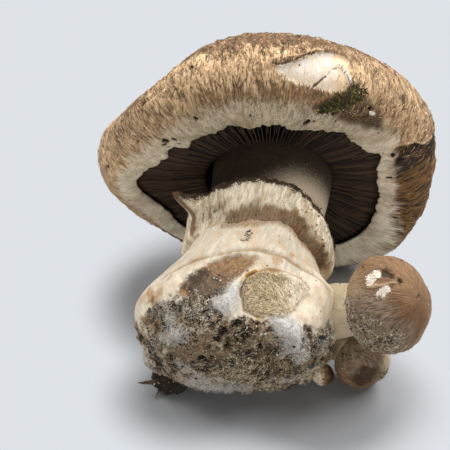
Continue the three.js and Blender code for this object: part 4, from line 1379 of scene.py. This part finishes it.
RING_RIM = (
    (-180, -21.5), (-165, -21.5), (-156, -21.3), (-150, -20.8), (-145, -22.3), (-134, -21.8),
    (-120, -21), (-106, -20.9), (-87, -21.3), (-66, -22.9), (-50, -25), (-30, -28.3), (-8, -31.5),
    (10, -32.5), (40, -31), (90, -27), (140, -23), (180, -21.5),
)
RING_EDGE = (
    (-180, -36), (-155, -35), (-138, -33.8), (-127, -34.2), (-113, -35.2), (-101, -35.6), (-90, -35.7),
    (-80, -34.6), (-71, -33.7), (-57, -35.4), (-40, -37.9), (-28, -39.4), (-15, -40.4), (10, -40.8),
    (40, -39.5), (90, -38), (140, -36.5), (180, -36),
)
# How far the ring stands off the stem, at these shares of the way up it.
RING_SHARES = (0, 0.1, 0.2, 0.35, 0.5, 0.7, 0.85, 1)
RING_FRONT = (0, 0.15, 0.4, 1, 2.1, 3.4, 4.1, 4.1)
RING_RIGHT = (0, 1.5, 2.8, 3.6, 3.8, 3.8, 3.7, 3.6)
RING_LEFT = (0, 1.6, 2.1, 2.3, 2.3, 2.9, 3.6, 4.1)
RING_TURN = 0.55  # the share of the outline that is the outer face
RING_RADII = (21, 19.5)
RING_LOW, RING_HEIGHT = -37, 16


def ring_shape(thickness):
    around = np.linspace(0, 1, 65)
    height = np.interp(around, (0, RING_TURN, 1), (0, 1, 0))
    face = np.where(around < RING_TURN, *RING_RADII)
    outline = np.stack([face, RING_LOW + RING_HEIGHT * height], axis=-1)
    outline[-1] = outline[0]
    ring = Turned(outline, 432, crowd=0.35)
    angle = ring.angle
    share = ring.row / (len(outline) - 1)
    up = np.interp(share, (0, RING_TURN, 0.62, 1), (0, 1, 1, 0))
    inward = smooth(share, RING_TURN, 0.64) * (1 - smooth(share, 0.97, 1))
    rim = round_table(angle, RING_RIM)
    torn = ring.grain(STEM_GIRTH, 0 * angle)
    low = round_table(angle, RING_EDGE) + 0.6 * noise(torn, 3.5, 2, 2) + 0.35 * noise(torn, 0.9, 9)
    flap = smooth(angle, -157, -153.5) * (1 - smooth(angle, -152.5, -136))
    ragged = 0.55 * noise(torn, 1.5, 3, 2) + 0.5 * noise(torn, 5, 4)
    level = low + (rim + ragged - low) * up
    stem_radius, side, down = stem_at(level)
    stem_radius = stem_radius + swellings(FOOT_LOBES, angle, level)
    right, left = between(angle, -60, 80, 34), between(angle, -215, -150, 22)
    stands_off = np.interp(up, RING_SHARES, RING_FRONT) * (1 - right - left)
    stands_off += np.interp(up, RING_SHARES, RING_RIGHT) * right
    stands_off += np.interp(up, RING_SHARES, RING_LEFT) * left
    radius = stem_radius + stands_off - 0.7 * (1 - smooth(up, 0, 0.1))
    grain = ring.grain(STEM_GIRTH, level)
    radius = radius + 0.3 * noise(grain, 6, 5) * smooth(up, 0, 0.2)
    folds = 0.34 * noise(grain, (2.4, 2.4, 12), 6) + 0.1 * noise(grain, (0.9, 0.9, 7), 7)
    radius += folds * smooth(up, 0.15, 0.5) * (1 - inward)
    radius += flap * smooth(up, 0.55, 1) * 7.2
    radius += 0.5 * noise(torn, 2.2, 8) * smooth(up, 0.85, 1)
    radius += 0.7 * hump(angle + 155.5, 3) * smooth(up, 0.05, 0.2)
    wall = thickness * (1 - 0.4 * up)
    radius = radius - wall * inward
    ring.set_round(radius, level, side, down)
    # The brown zone under the ring's roll: partly brown stain, partly painted shade in the hollow under the
    # roll.
    front = between(angle, -120, -44, 24) * (1 - smooth(up + 0.1 * noise(torn, 3, 14, 2), 0.2, 0.56))
    beside = between(angle, -68, -8, 18) * (1 - smooth(up + 0.08 * noise(torn, 3, 15, 2), 0.1, 0.36))
    ring_stain_and_shade = np.max([front, beside, 0.42 * between(angle, -152, -112, 12) * hump(up - 0.4, 0.22)], axis=0)
    curl = hump(angle + 151.5, 2.2) + 0.3 * flap * hump(up - 1, 0.05)
    ring.paint(
        grain=grain, up=up, inward=inward, stain_and_shade=ring_stain_and_shade,
        right=np.maximum(right, 0.7 * between(angle, -160, -120, 18)),
        curl=curl * smooth(up, 0.05, 0.2),
        soiled=0.1 * smooth(up, 0, 0.4) * between(angle, -64, 10, 20),
        spored=smooth(up, 0.76, 0.95) * np.clip(0.5 + noise(torn, 4, 10), 0, 1),
    )
    return ring


VEIL_TAN = paint("b99b70")
RIGHT_TAN = paint("a58a66")
STAIN_AND_SHADE_BROWNS = paint("321f0a"), paint("7b5429")
CURL_BROWN = paint("6c4c2b")


def ring_finish(own, soil):
    veil = Finish("ring veil", roughness=0.8)
    wander = veil.stirred(veil.along(1, 1), 4, 0.7)
    streak = veil.fibrous(wander, 0.8, 5.5, 2.5)
    hair = veil.fibrous(wander, 0.35, 2.2)
    fine = veil.clouds(0.4, 3)
    cloud = veil.clouds(3, 3)
    up = veil.painted("up")
    veil.colour(veil.graded(streak * 0.6 + hair * 0.4, 0.38, 0.6, own.ring * 0.62, own.ring * 1.16))
    veil.lay(veil.step(cloud, 0.5, 0.68, 0, 0.5), VEIL_TAN)
    veil.lay(veil.painted("right") * veil.step(cloud + (fine - 0.5) * 0.6, 0.4, 0.62, 0, 0.6), RIGHT_TAN)
    feather = (streak - 0.5) * 2.2 + (hair - 0.5) * 1.3 + (cloud - 0.5) * 1.1 + (fine - 0.5) * 0.5
    stain_and_shade = veil.step(veil.painted("stain_and_shade") * 1.1 + feather, 0.05, 0.95) * veil.there("stain_and_shade", 0.02, 0.2)
    # The brown zone under the roll: partly brown stain, partly painted shade.
    stain_shade_tone = veil.graded(streak * 0.3 + hair * 0.3 + fine * 0.4, 0.4, 0.6, *STAIN_AND_SHADE_BROWNS)
    veil.lay(stain_and_shade * 0.9, stain_shade_tone)
    pitted = veil.step(veil.painted("stain_and_shade") + veil.painted("right"), 0.05, 0.4, 0.3, 1)
    pits = veil.specks(0.34, 0.05, seed=3.0) * pitted
    veil.lay(pits * 0.85, soil.dark)
    pocks = veil.specks(0.7, 0.06, seed=6.0) * veil.painted("right")
    veil.lay(pocks * 0.85, soil.dark * 0.7)
    spores = veil.step(up + (fine - 0.5) * 0.34 + (cloud - 0.5) * 0.2, 0.83, 0.9)
    grainy = veil.graded(fine, 0.42, 0.62, soil.dark * 0.35, own.stain * 0.45)
    veil.lay(veil.step(spores + veil.painted("inward") * 2, 0.35, 0.75), grainy)
    veil.lay(veil.there("curl", 0.2, 0.8, (fine, 0.6)) * 0.85, CURL_BROWN)
    veil.relief(streak * 0.4 + hair * 0.2 + fine * 0.15 + cloud * 0.2 + spores * fine * 0.5)
    return veil.material


# --------------------
# The young mushrooms

# place, the way the cap points, radius, height above and below its widest, stalk radius and length
BUTTONS = {
    "large_button": ((31.6, -35.2, 30), (0.72, -0.5, 0.48), 13.6, 12.2, 8.5, 8, 17),
    "small_button": ((26.2, -31.4, 8.3), (0.7, -0.6, -0.2), 8.6, 7.6, 6.6, 5, 9),
    "pinhead": ((15.2, -33.6, 4.6), (0.4, -0.85, 0.1), 3.2, 3.2, 2.6, 2, 4),
}
# Places on the young mushrooms, each with how wide the spot is.
TORN_PATCH = ((26.9, -39, 42.4, 1.6), (28.2, -38.3, 42.9, 1.5), (26.2, -40.4, 41.6, 0.9))
TORN_SPOT = ((30.8, -38.2, 42.8, 1.5), (32.4, -39, 42.2, 1.2), (34.4, -39.8, 41.6, 0.8))
TORN_CREAM = ((29.4, -43.4, 39.4, 1.5), (30.5, -42.8, 40.1, 1.2))
TORN_RIDGE = ((25.4, -41.6, 40.6), (29.6, -41.6, 41), (34.4, -40.6, 41.6))
GRITTY = (
    (24, -46, 28, 7.4), (29.5, -48, 25.5, 7), (21, -42, 33, 4.4), (35, -46, 21, 4.6), (26, -44, 20, 5),
    (18.5, -38.5, 24.5, 2.6), (21.6, -36, 15.4, 2.6), (33, -35, 5, 2.6),
)
GREYISH = ((26, -46, 34, 7.5), (34, -48, 28, 6), (25, -37, 13.5, 7), (31, -37, 11, 4))
PALE_SIDES = (
    (19.5, -38, 37, 6.5), (37, -45, 20, 5), (45, -36, 26, 5.5), (42, -42, 22, 5), (34.8, -32, 9, 5),
    (20, -30, 12, 4),
)
LIGHT_SIDES = ((35, -32, 10, 5.4), (33.4, -35, 3.6, 3.6))
FLUSHES = (
    (36.8, -46.5, 33.5, 5), (33, -46, 38, 3.4), (40, -44, 28, 4), (31, -39, 44, 3.5), (26, -40, 12, 4),
)
BLOTCHES = (
    (27.6, -39.6, 8.4, 3.4), (25, -39.8, 7, 3), (29.6, -38.8, 9.6, 1.4), (17.6, -34.8, 5.2, 2.2),
)


def pointing(place, axis):
    """The place of a piece whose Z points along an axis."""
    turn = Vector((0, 0, 1)).rotation_difference(Vector(axis))
    return Matrix.Translation(place) @ turn.to_matrix().to_4x4()


def button_shape(place, axis, radius, crown, base, stalk, stalk_length):
    home = pointing(place, axis)
    under = arc((0, 0), (radius, base), 0, -56, 60)
    foot = -base - stalk_length
    stalk_side = (
        under[-1],
        (stalk * 0.94, -base * 0.98),
        (stalk * 0.95, -base - 1.5),
        (stalk, -base - stalk_length * 0.6),
        (stalk * 1.2, foot),
    )
    outline = joined(
        arc((0, 0), (radius, crown), 90, 0, 100),
        under,
        through(stalk_side, 12),
        [(stalk * 1.2, foot), (0, foot)],
    )
    sides, steps = (240, 128) if radius > 5 else (96, 60)
    outline, _ = spaced(outline, (None, steps))
    button = Turned(outline, sides)
    level = button.level
    grain = button.grain(radius, level)
    button.set_round(button.radius, level)
    home_turn = np.array(home.to_3x3()).T
    places = button.points @ home_turn + np.array(place)
    cap = smooth(level, -base * 0.85, -base * 0.7)
    size = radius / 13.9
    margin = hump(level + base * 0.7, 1.0 * size)
    rise = 0.5 * size * noise(places, 7 * size, 3, 2) + 0.12 * noise(places, 1.6, 4, 2)
    rise += 0.35 * size * margin * (1 + noise(grain, 1.8 * size, 6))
    patch = balls(places, TORN_PATCH, 0.4, 2.2, 7)
    spot = balls(places, TORN_SPOT, 0.5, 1, 8)
    cream = balls(places, TORN_CREAM, 0.4, 1.8, 12)
    ridge = from_line(places, np.array(TORN_RIDGE)) + 0.3 * noise(places, 1.5, 13)
    gritty = balls(places, GRITTY, 1.6, 3.4, 9)
    rise -= 0.5 * smooth(patch, -0.3, 0.4) + 0.8 * smooth(spot, -0.3, 0.5)
    rise += 0.45 * hump(ridge, 0.6) + 0.25 * smooth(cream, -0.3, 0.3)
    grains = 0.28 * (0.6 - crumbs(places, 1.3, 16)) + 0.15 * noise(places, 0.8, 17)
    rise += smooth(gritty, -0.5, 1.5) * grains
    button.push(rise * smooth(button.radius, 0, 1 + size))
    soiled = 0.02 + smooth(gritty, -0.5, 2) * (0.5 + 0.5 * cap)
    button.paint(
        grain=grain, height=(level + base) / (crown + base), cap=cap, patch=patch, spot=spot,
        cream=cream, ridge=0.5 - ridge, grit=gritty, grey=balls(places, GREYISH),
        pale=balls(places, PALE_SIDES), blotch=balls(places, BLOTCHES, 0.8, 2, 14),
        flush=balls(places, FLUSHES), light=balls(places, LIGHT_SIDES),
        tiny=float(radius < 5) * (1 + smooth(places[:, 0], 13, 17)), soiled=soiled,
        woolly=0.15 * (soiled - 0.02) * (radius > 10),
    )
    return button, home


FLUSH = paint("38220f"), paint("7a5230")
DUSTY_GREYS = paint("4a3d32"), paint("9f907d")
PINHEAD_SKIN = paint("a98b69"), paint("e6d3bc")
PINHEAD_SHADE = paint("3a2817"), paint("8a6640")
PALE_NAP = paint("d6c6ab")
BLOTCH = paint("1b1007"), paint("4a321b")


def button_finish(own, soil, flesh):
    skin = Finish("button skin", roughness=0.75)
    wander = skin.stirred(skin.along(1, 1), 4, 1.2)
    nap = skin.fibrous(wander, 0.5, 1.8, 3, 0.62)
    fine = skin.clouds(0.36, 3)
    cloud = skin.clouds(4.5, 3)
    crumb = skin.clouds(1.1, 3, roughness=0.65)
    height = skin.painted("height")
    crown = skin.graded(nap, 0.3, 0.68, own.crown * 0.6, own.crown * 1.5)
    side = skin.graded(nap, 0.3, 0.68, own.side * 0.66, own.side * 1.12)
    skin.colour(skin.graded(height + (cloud - 0.5) * 0.8, 0.12, 0.4, side, crown))
    flush = skin.there("flush", -2, 3, (cloud, 8))
    skin.lay(flush * 0.58, skin.graded(nap, 0.3, 0.68, *FLUSH))
    pale = skin.there("pale", -1.2, 2, (cloud, 5), (crumb, 2))
    skin.lay(pale * 0.6, side)
    grey = skin.there("grey", -1.5, 3, (cloud, 5))
    skin.lay(grey * 0.6, skin.graded(nap, 0.28, 0.7, *DUSTY_GREYS))
    stalk = skin.graded(fine + cloud, 0.8, 1.2, own.stalk * 0.84, own.stalk)
    skin.colour(skin.mix(skin.painted("cap"), stalk, skin.body))
    tiny = skin.graded(crumb, 0.32, 0.48, *PINHEAD_SKIN)
    skin.lay(skin.painted("tiny"), tiny)
    browner = skin.graded(crumb, 0.36, 0.6, *PINHEAD_SHADE)
    skin.lay(skin.there("tiny", 1.15, 1.85, (crumb, 2.2)), browner)
    light = skin.there("light", -1, 1.4, (cloud, 3), (crumb, 2))
    skin.lay(light * 0.75, skin.graded(nap, 0.3, 0.68, own.side * 0.9, PALE_NAP))
    blotch = skin.there("blotch", -0.8, 1.2, (crumb, 3))
    skin.lay(blotch * 0.92, skin.graded(fine, 0.4, 0.6, *BLOTCH))
    grit = skin.there("grit", -0.5, 2.5, (cloud, 5), (crumb, 4))
    grit_tone = skin.graded(crumb, 0.4, 0.56, soil.dark * 1.2, soil.light * 0.78)
    grit_tone = skin.mix(skin.specks(0.42, 0.3, seed=12.0), grit_tone, soil.sand * 0.85)
    skin.lay(grit * 0.8, grit_tone)
    skin.lay(skin.specks(0.26, 0.07, seed=5.0) * 0.75, soil.dark)
    skin.lay(skin.specks(0.26, 0.1, seed=9.0) * grit, soil.sand)
    torn = skin.graded(fine * 0.6 + crumb * 0.4, 0.4, 0.56, own.side * 1.25, flesh * 0.95)
    skin.lay(skin.there("cream", -0.3, 0.4, (fine, 2), (crumb, 3)) * 0.8, torn)
    skin.lay(skin.there("ridge", 0, 0.3, (fine, 0.7)) * 0.7, own.side * 1.4)
    skin.lay(skin.there("patch", -0.2, 0.3, (fine, 1.4)), torn)
    skin.lay(skin.there("spot", -0.2, 0.3, (fine, 1)), own.crown * 0.3)
    skin.relief(nap * 0.3 + fine * 0.16 + grit * (crumb * 0.5 + fine * 0.3))
    return skin.material


# --------------------
# Soil and moss

CLOD_PLACE = (-28.2, -33.8, 3.4)
CLOD_RADII = (5.6, 4.6, 4)
# start, end and width of each root
CLOD_ROOTS = (
    ((-3.2, -1.2, -0.4), (-9.6, -2.6, 0.4), 2.6),
    ((-3.2, -2.6, -2), (-4.6, -5.6, -2.9), 0.9),
    ((-1, -3.4, 1), (-3.4, -6, 2.4), 0.9),
)
# The share of the grains of soil on each piece.
GRAIN_SHARES = {
    "stem_flesh": 0.76,
    "clod": 0.03,
    "large_button_skin": 0.11,
    "small_button_skin": 0.04,
    "pinhead_skin": 0.01,
    "ring_veil": 0.03,
    "cap_skin": 0.02,
}
WOOLLY = ("stem_flesh", "large_button_skin")
# the least and the greatest (length, width)
WOOL_SIZES = ((0.8, 0.06), (2.8, 0.15))
HAIR_SIZES = ((1, 0.08), (2.8, 0.2))
SOIL_SEED = 11
MOSS_PLACE = (19.5, -7.2, 79.2)
MOSS_AXIS = (0.26, -0.92, 0.3)
MOSS_RADII = (7.4, 2.3, 1.3)
MOSS_TURN = 34
MOSS_LEAVES = 420


def clod_shape():
    bm = bmesh.new()
    bmesh.ops.create_icosphere(bm, subdivisions=6, radius=1)
    bmesh.ops.scale(bm, vec=CLOD_RADII, verts=bm.verts)
    clod = Shape(bm)
    places = clod.points
    lumps = 0.9 * noise(places, 3, 1, 2) + 0.9 * (0.5 - crumbs(places, 1.9, 2))
    clod.push(lumps + 0.3 * noise(places, 0.8, 3))
    clod.paint(soiled=np.ones(clod.count))
    return clod


def root_shape(start, end, width, rng):
    """A thin root that tapers to its end."""
    root = Shape(spike(7, 0.05, 9))
    places = root.points
    along = places[:, 2] + 0.5
    way = np.array(end) - np.array(start)
    frame_at = np.array(Vector(way).to_track_quat("Z", "Y").to_matrix())
    across = places[:, :2] @ frame_at.T[:2] * width
    bend = np.outer(np.sin(along * np.pi) * rng.uniform(0.2, 0.8), rng.normal(size=3))
    bend += 0.12 * noise(places * 9 + 5, 1, 3)[:, None]
    root.points = np.array(start) + np.outer(along, way) + across + bend
    root.paint(tint=np.full(root.count, 0.3))
    return root


def grains_on(piece, count, rng, mask="soiled"):
    """Places, normals and sizes for grains on a finished piece, where the mask is; in millimetres."""
    places, normals, weight = surface_of(piece, mask)
    weight = np.where(places[:, 2] > 0.3, weight, 0) * (0.35 + np.clip(noise(places, 3, 41, 2), 0, 1))
    chosen = rng.choice(len(weight), size=count, p=weight / weight.sum())
    size = 0.24 + 0.62 * rng.power(0.45, count) * rng.uniform(0, 1, count)
    return places[chosen] + rng.normal(0, 0.15, (count, 3)), normals[chosen], size


def soil_finish(own):
    soil = Finish("soil", roughness=0.95)
    tint = soil.painted("tint")
    fine = soil.clouds(0.5, 3)
    soil.colour(soil.graded(tint, 0.2, 0.5, own.dark, own.light * 0.8))
    soil.lay(soil.step(tint, 0.55, 0.7), own.light)
    soil.lay(soil.step(tint, 0.78, 0.84), own.sand)
    soil.lay(soil.step(fine, 0.35, 0.7, 0, 0.35), own.dark * 0.9)
    soil.relief(fine * 0.3)
    return soil.material


def threads_on(pieces, mask, count, sizes, lift, rng, heart=None):
    """Threads that lie over some pieces, where the mask is: every way, or away from a heart. Sizes are
    the least and the greatest (length, width)."""
    found = [surface_of(piece, mask) for piece in pieces]
    places, normals, weight = (np.concatenate(part) for part in zip(*found))
    weight = weight * (places[:, 2] > 0.3)
    chosen = rng.choice(len(weight), size=count, p=weight / weight.sum())
    way = rng.normal(size=(count, 3))
    if heart:
        way = 0.45 * way + unit(places[chosen] - np.array(heart))
    return strands(places[chosen], normals[chosen], way, rng.uniform(*sizes, (count, 2)), lift, rng)


THREAD_WHITE = paint("e9e7e2")


def wool_finish(own):
    wool = Finish("mycelium threads", roughness=0.85)
    wool.colour(wool.mix(wool.there("tint", 0.1, 0.7), own.light * 1.15, THREAD_WHITE))
    return wool.material


def spore_finish(own):
    spores = Finish("spores", roughness=0.9)
    spores.colour(spores.mix(spores.there("tint", 0.3, 0.95), own.dark * 0.35, own.dark * 1.5))
    return spores.material


HAIR_BROWNS = paint("836a46"), paint("cbb38a")
HAIR_CREAM = paint("f3e5c8")


def hair_finish():
    hairs = Finish("root hairs", roughness=0.85)
    tint = hairs.painted("tint")
    hairs.colour(hairs.graded(tint, 0.2, 0.35, *HAIR_BROWNS))
    hairs.lay(hairs.step(tint, 0.5, 0.65), HAIR_CREAM)
    return hairs.material


def clod_finish(own):
    soil = Finish("clod", roughness=0.95)
    fine = soil.clouds(0.6, 3)
    cloud = soil.clouds(2.4, 2)
    soil.colour(soil.graded(fine, 0.4, 0.65, own.dark * 0.25, own.light * 0.12))
    soil.lay(soil.step(cloud, 0.5, 0.65, 0, 0.6), own.dark * 0.7)
    soil.relief(fine * 0.5 + cloud * 0.6)
    return soil.material


def moss_shape(rng):
    """Small pointed leaves on a lens-shaped tuft."""
    count = MOSS_LEAVES
    shape, points = copies(spike(4, 0.02, 2), count)
    spot = rng.uniform(-1, 1, (count, 2))
    spot /= np.maximum(1, np.linalg.norm(spot, axis=1))[:, None]
    far = np.hypot(spot[:, 0], spot[:, 1])
    taper = 0.3 + 0.55 * (1 + spot[:, 0])
    x, y = spot.T
    base = np.stack([x * MOSS_RADII[0], y * MOSS_RADII[1] * taper, 1.2 * (1 - far**2) - 0.4], axis=-1)
    sideways = [x + rng.normal(0, 0.8, count), y * 0.8 + rng.normal(0, 0.8, count)]
    way = unit(np.stack([*sideways, rng.uniform(0.2, 1.0, count)], axis=-1))
    across = unit(np.cross(way, rng.normal(size=(count, 3))))
    flat = np.cross(way, across)
    along = points[..., 2:3] + 0.5
    size = rng.uniform(1.1, 2.8, (count, 1, 1)) * (1 - 0.35 * far)[:, None, None]
    droop = np.array([0, 0, -1]) * along**2 * rng.uniform(0.1, 0.7, (count, 1, 1))
    wide = np.sin(np.pi * np.clip(along * 0.8 + 0.15, 0, 1))
    places = base[:, None] + size * (along * way[:, None] + droop)
    places += wide * (points[..., 0:1] * across[:, None] * 0.7 + points[..., 1:2] * flat[:, None] * 0.18)
    shape.points = places.reshape(-1, 3)
    shape.paint(tint=np.repeat(rng.uniform(0, 1, count), points.shape[1]), along=along.ravel())
    return shape


MOSS_YELLOW = paint("8f862b")


def moss_finish(own):
    moss = Finish("moss", roughness=0.7)
    tint = moss.painted("tint")
    tip = moss.painted("along")
    moss.colour(moss.graded(tint, 0.2, 0.6, own.moss * 0.35, own.moss))
    moss.lay(moss.step(tint, 0.78, 0.84) * moss.step(tip, 0.1, 0.7), MOSS_YELLOW)
    moss.lay(moss.step(tint, 0.2, 0.3, 1, 0), own.dark * 0.6)
    return moss.material


# --------------------
# The stage

CAMERA_PLACE = (-0.0129, -0.41576, 0.29402)
CAMERA_TILT = 58
LENS = 133.33
# name, place, width, height, watts; all are aimed at the object
LAMPS = (
    ("back", (0.29, 0.5, 0.69), 0.4, 0.4, 5.8),
    ("back left", (-0.55, 0.32, 0.64), 0.4, 0.4, 4.8),
    ("back right", (0.55, 0.32, 0.64), 0.4, 0.4, 2.6),
    ("right", (0.58, 0, 0.69), 0.4, 0.4, 4.4),
    ("left", (-0.58, 0, 0.69), 0.4, 0.4, 0.8),
    ("top", (0, 0.08, 0.9), 0.4, 0.4, 1.6),
    ("front left", (-0.42, -0.76, 0.2), 0.5, 0.2, 2.1),
    ("front right", (0.5, -0.72, 0.2), 0.5, 0.2, 1.9),
)
# Where the floor keeps its own colour: (middle, radius), in millimetres. It fades to the distance there.
NEAR = (((15, -39, 0), 19), ((-20, -38, 0), 13), ((-6, 12, 0), 34))
FADE = 20
FLOOR_REACH = 4  # metres
LAMP_AIM = (0, 0, 0)
WORLD_LIGHT = 0.03
SEEING_RAYS = ("Is Camera Ray", "Is Glossy Ray", "Is Transmission Ray")


def floor_finish(own):
    floor = Finish("studio floor", roughness=0.9)
    floor.shader.inputs["Base Color"].default_value = (*own.floor, 1)
    seen = [floor.node("ShaderNodeLightPath", output=name) for name in SEEING_RAYS]
    share = sum(seen[1:], seen[0])
    for middle, radius in NEAR:
        ends = {0: floor.place, 1: middle}
        far = floor.node("ShaderNodeVectorMath", {"operation": "DISTANCE"}, ends, output="Value")
        share = share * floor.step(far, radius, radius + FADE)
    pale = floor.node("ShaderNodeEmission", None, {"Color": (*own.distance, 1), "Strength": 1.0})
    base = Wire(floor, floor.shader.outputs[0])
    mixed = floor.node("ShaderNodeMixShader", None, {0: share, 1: base, 2: pale})
    floor.tree.links.new(mixed.socket, floor.tree.nodes["Material Output"].inputs["Surface"])
    return floor.material


def sky_strength(tree):
    """Full where the sky is seen, straight or in a reflection, and faint where it only lights."""
    path = tree.nodes.new("ShaderNodeLightPath")
    total = path.outputs[SEEING_RAYS[0]]
    for name in SEEING_RAYS[1:]:
        either = tree.nodes.new("ShaderNodeMath")
        either.operation = "MAXIMUM"
        tree.links.new(total, either.inputs[0])
        tree.links.new(path.outputs[name], either.inputs[1])
        total = either.outputs[0]
    faint = tree.nodes.new("ShaderNodeMath")
    faint.operation = "MAXIMUM"
    faint.inputs[1].default_value = WORLD_LIGHT
    tree.links.new(total, faint.inputs[0])
    return faint.outputs[0]


class MUSHROOM_OT_stage(bpy.types.Operator):
    """Adds the table, the lamps and the camera"""

    bl_idname = "mushroom.stage"
    bl_label = "Stage"

    def execute(self, context):
        own = settings("stage")
        bm = bmesh.new()
        bmesh.ops.create_grid(bm, x_segments=8, y_segments=8, size=FLOOR_REACH)
        mesh = bpy.data.meshes.new("floor")
        bm.to_mesh(mesh)
        bm.free()
        mesh.materials.append(floor_finish(own))
        floor = bpy.data.objects.new("floor", mesh)
        context.scene.collection.objects.link(floor)

        for name, place, wide, high, watts in LAMPS:
            light = bpy.data.lights.new(name, "AREA")
            light.shape = "RECTANGLE"
            light.size, light.size_y = wide, high
            light.energy = watts * own.lamp_power
            lamp = bpy.data.objects.new(name, light)
            lamp.location = place
            lamp.rotation_euler = (Vector(LAMP_AIM) - Vector(place)).to_track_quat("-Z", "Y").to_euler()
            context.scene.collection.objects.link(lamp)

        world = bpy.data.worlds.new("studio")
        world.use_nodes = True
        tree = world.node_tree
        sky = tree.nodes["Background"]
        sky.inputs["Color"].default_value = (*own.distance, 1)
        tree.links.new(sky_strength(tree), sky.inputs["Strength"])
        context.scene.world = world

        camera = bpy.data.objects.new("camera", bpy.data.cameras.new("camera"))
        camera.data.lens = LENS
        camera.data.clip_start = 0.01
        camera.data.clip_end = 50
        camera.location = CAMERA_PLACE
        camera.rotation_euler = (math.radians(CAMERA_TILT), 0, 0)
        context.scene.collection.objects.link(camera)
        context.scene.camera = camera
        context.scene.view_settings.view_transform = "Standard"
        return {"FINISHED"}


class MUSHROOM_OT_cap(bpy.types.Operator):
    """Adds the cap with its torn mouth, its wound and its scaly skin"""

    bl_idname = "mushroom.cap"
    bl_label = "Cap"

    def execute(self, context):
        own = settings("cap")
        cap_shape(own.fibril / MM).put("cap_skin", LEANING, cap_finish(own), "cap_skin", ["cap"])
        fibres = cap_fibres(own.fibres, np.random.default_rng(FIBRE_SEED))
        fibres.put("cap_fibres", Matrix(), fibre_finish(own), "cap_skin")
        return {"FINISHED"}


class MUSHROOM_OT_gills(bpy.types.Operator):
    """Adds the gill blades under the cap"""

    bl_idname = "mushroom.gills"
    bl_label = "Gills"

    def execute(self, context):
        own = settings("gills")
        blades = gill_shape(own.count, own.thickness / MM)
        blades.put("gill_blades", LEANING, gill_finish(own), "gills", ["gills"])
        return {"FINISHED"}


class MUSHROOM_OT_stem(bpy.types.Operator):
    """Adds the stem with its foot, and the ring round it"""

    bl_idname = "mushroom.stem"
    bl_label = "Stem and ring"

    def execute(self, context):
        own, soil = settings("stem"), settings("soil")
        stem_shape().put("stem_flesh", LEANING, stem_finish(own, soil), "stem_flesh", ["stem"])
        ring = ring_shape(own.ring_thickness / MM)
        ring.put("ring_veil", LEANING, ring_finish(own, soil), "ring_veil", ["ring"])
        return {"FINISHED"}


class MUSHROOM_OT_buttons(bpy.types.Operator):
    """Adds the three young mushrooms"""

    bl_idname = "mushroom.buttons"
    bl_label = "Young mushrooms"

    def execute(self, context):
        finish = button_finish(settings("buttons"), settings("soil"), settings("cap").flesh)
        for name, sizes in BUTTONS.items():
            button, home = button_shape(*sizes)
            button.put(name + "_skin", home, finish, "button_skin", [name])
        return {"FINISHED"}


class MUSHROOM_OT_soil(bpy.types.Operator):
    """Adds the clod, its roots, the grains of soil on every piece, and the moss"""

    bl_idname = "mushroom.soil"
    bl_label = "Soil and moss"

    def execute(self, context):
        own = settings("soil")
        rng = np.random.default_rng(SOIL_SEED)
        clod_at = Matrix.Translation(CLOD_PLACE)
        clod_shape().put("clod", clod_at, clod_finish(own), "soil", ["soil_clod"])
        finish = soil_finish(own)
        for index, ends in enumerate(CLOD_ROOTS):
            root_shape(*ends, rng).put(f"root_{index + 1}", clod_at, finish, "soil")
        found = [grains_on(name, int(share * own.grains), rng) for name, share in GRAIN_SHARES.items()]
        places, normals, sizes = (np.concatenate(part) for part in zip(*found))
        grains = pebbles(places, normals, sizes, rng, flat=0.8)
        grains.put("soil_grains", Matrix(), finish, "soil", ["soil_crust"])
        wool = threads_on(WOOLLY, "woolly", own.threads, WOOL_SIZES, 0.55, rng)
        wool.put("mycelium_threads", Matrix(), wool_finish(own), "stem_flesh")
        hairs = threads_on(WOOLLY[:1], "hairy", own.hairs, HAIR_SIZES, 0.22, rng, PATCH_HEART)
        hairs.put("foot_hairs", Matrix(), hair_finish(), "stem_flesh")
        places, normals, sizes = grains_on("ring_veil", own.spores, rng, "spored")
        spores = pebbles(places, normals, 0.75 * sizes, rng)
        spores.put("spore_grains", Matrix(), spore_finish(own), "ring_veil")
        moss_at = pointing(MOSS_PLACE, MOSS_AXIS) @ Matrix.Rotation(math.radians(MOSS_TURN), 4, "Z")
        moss_shape(rng).put("moss_leaves", moss_at, moss_finish(own), "moss", ["moss_tuft"])
        return {"FINISHED"}


class MUSHROOM_PT_panel(bpy.types.Panel):
    """Lists the pieces and their sizes and colours"""

    bl_idname = "MUSHROOM_PT_panel"
    bl_label = "Mushroom"
    bl_space_type = "VIEW_3D"
    bl_region_type = "UI"
    bl_category = "Mushroom"

    def draw(self, context):
        for operator in OPERATORS:
            self.layout.operator(operator.bl_idname)
        for group, kind in GROUPS.items():
            box = self.layout.box()
            box.label(text=group.capitalize())
            for name in kind.__annotations__:
                box.prop(getattr(context.scene, "mushroom_" + group), name)


OPERATORS = (
    MUSHROOM_OT_stage,
    MUSHROOM_OT_cap,
    MUSHROOM_OT_gills,
    MUSHROOM_OT_stem,
    MUSHROOM_OT_buttons,
    MUSHROOM_OT_soil,
)
CLASSES = (*GROUPS.values(), *OPERATORS, MUSHROOM_PT_panel)


def register():
    for kind in CLASSES:
        bpy.utils.register_class(kind)
    for group, kind in GROUPS.items():
        setattr(bpy.types.Scene, "mushroom_" + group, PointerProperty(type=kind))


def unregister():
    for group in GROUPS:
        delattr(bpy.types.Scene, "mushroom_" + group)
    for kind in reversed(CLASSES):
        bpy.utils.unregister_class(kind)


def main():
    register()
    bpy.ops.mushroom.stage()
    bpy.ops.mushroom.cap()
    bpy.ops.mushroom.gills()
    bpy.ops.mushroom.stem()
    bpy.ops.mushroom.buttons()
    bpy.ops.mushroom.soil()


if __name__ == "__main__":
    main()
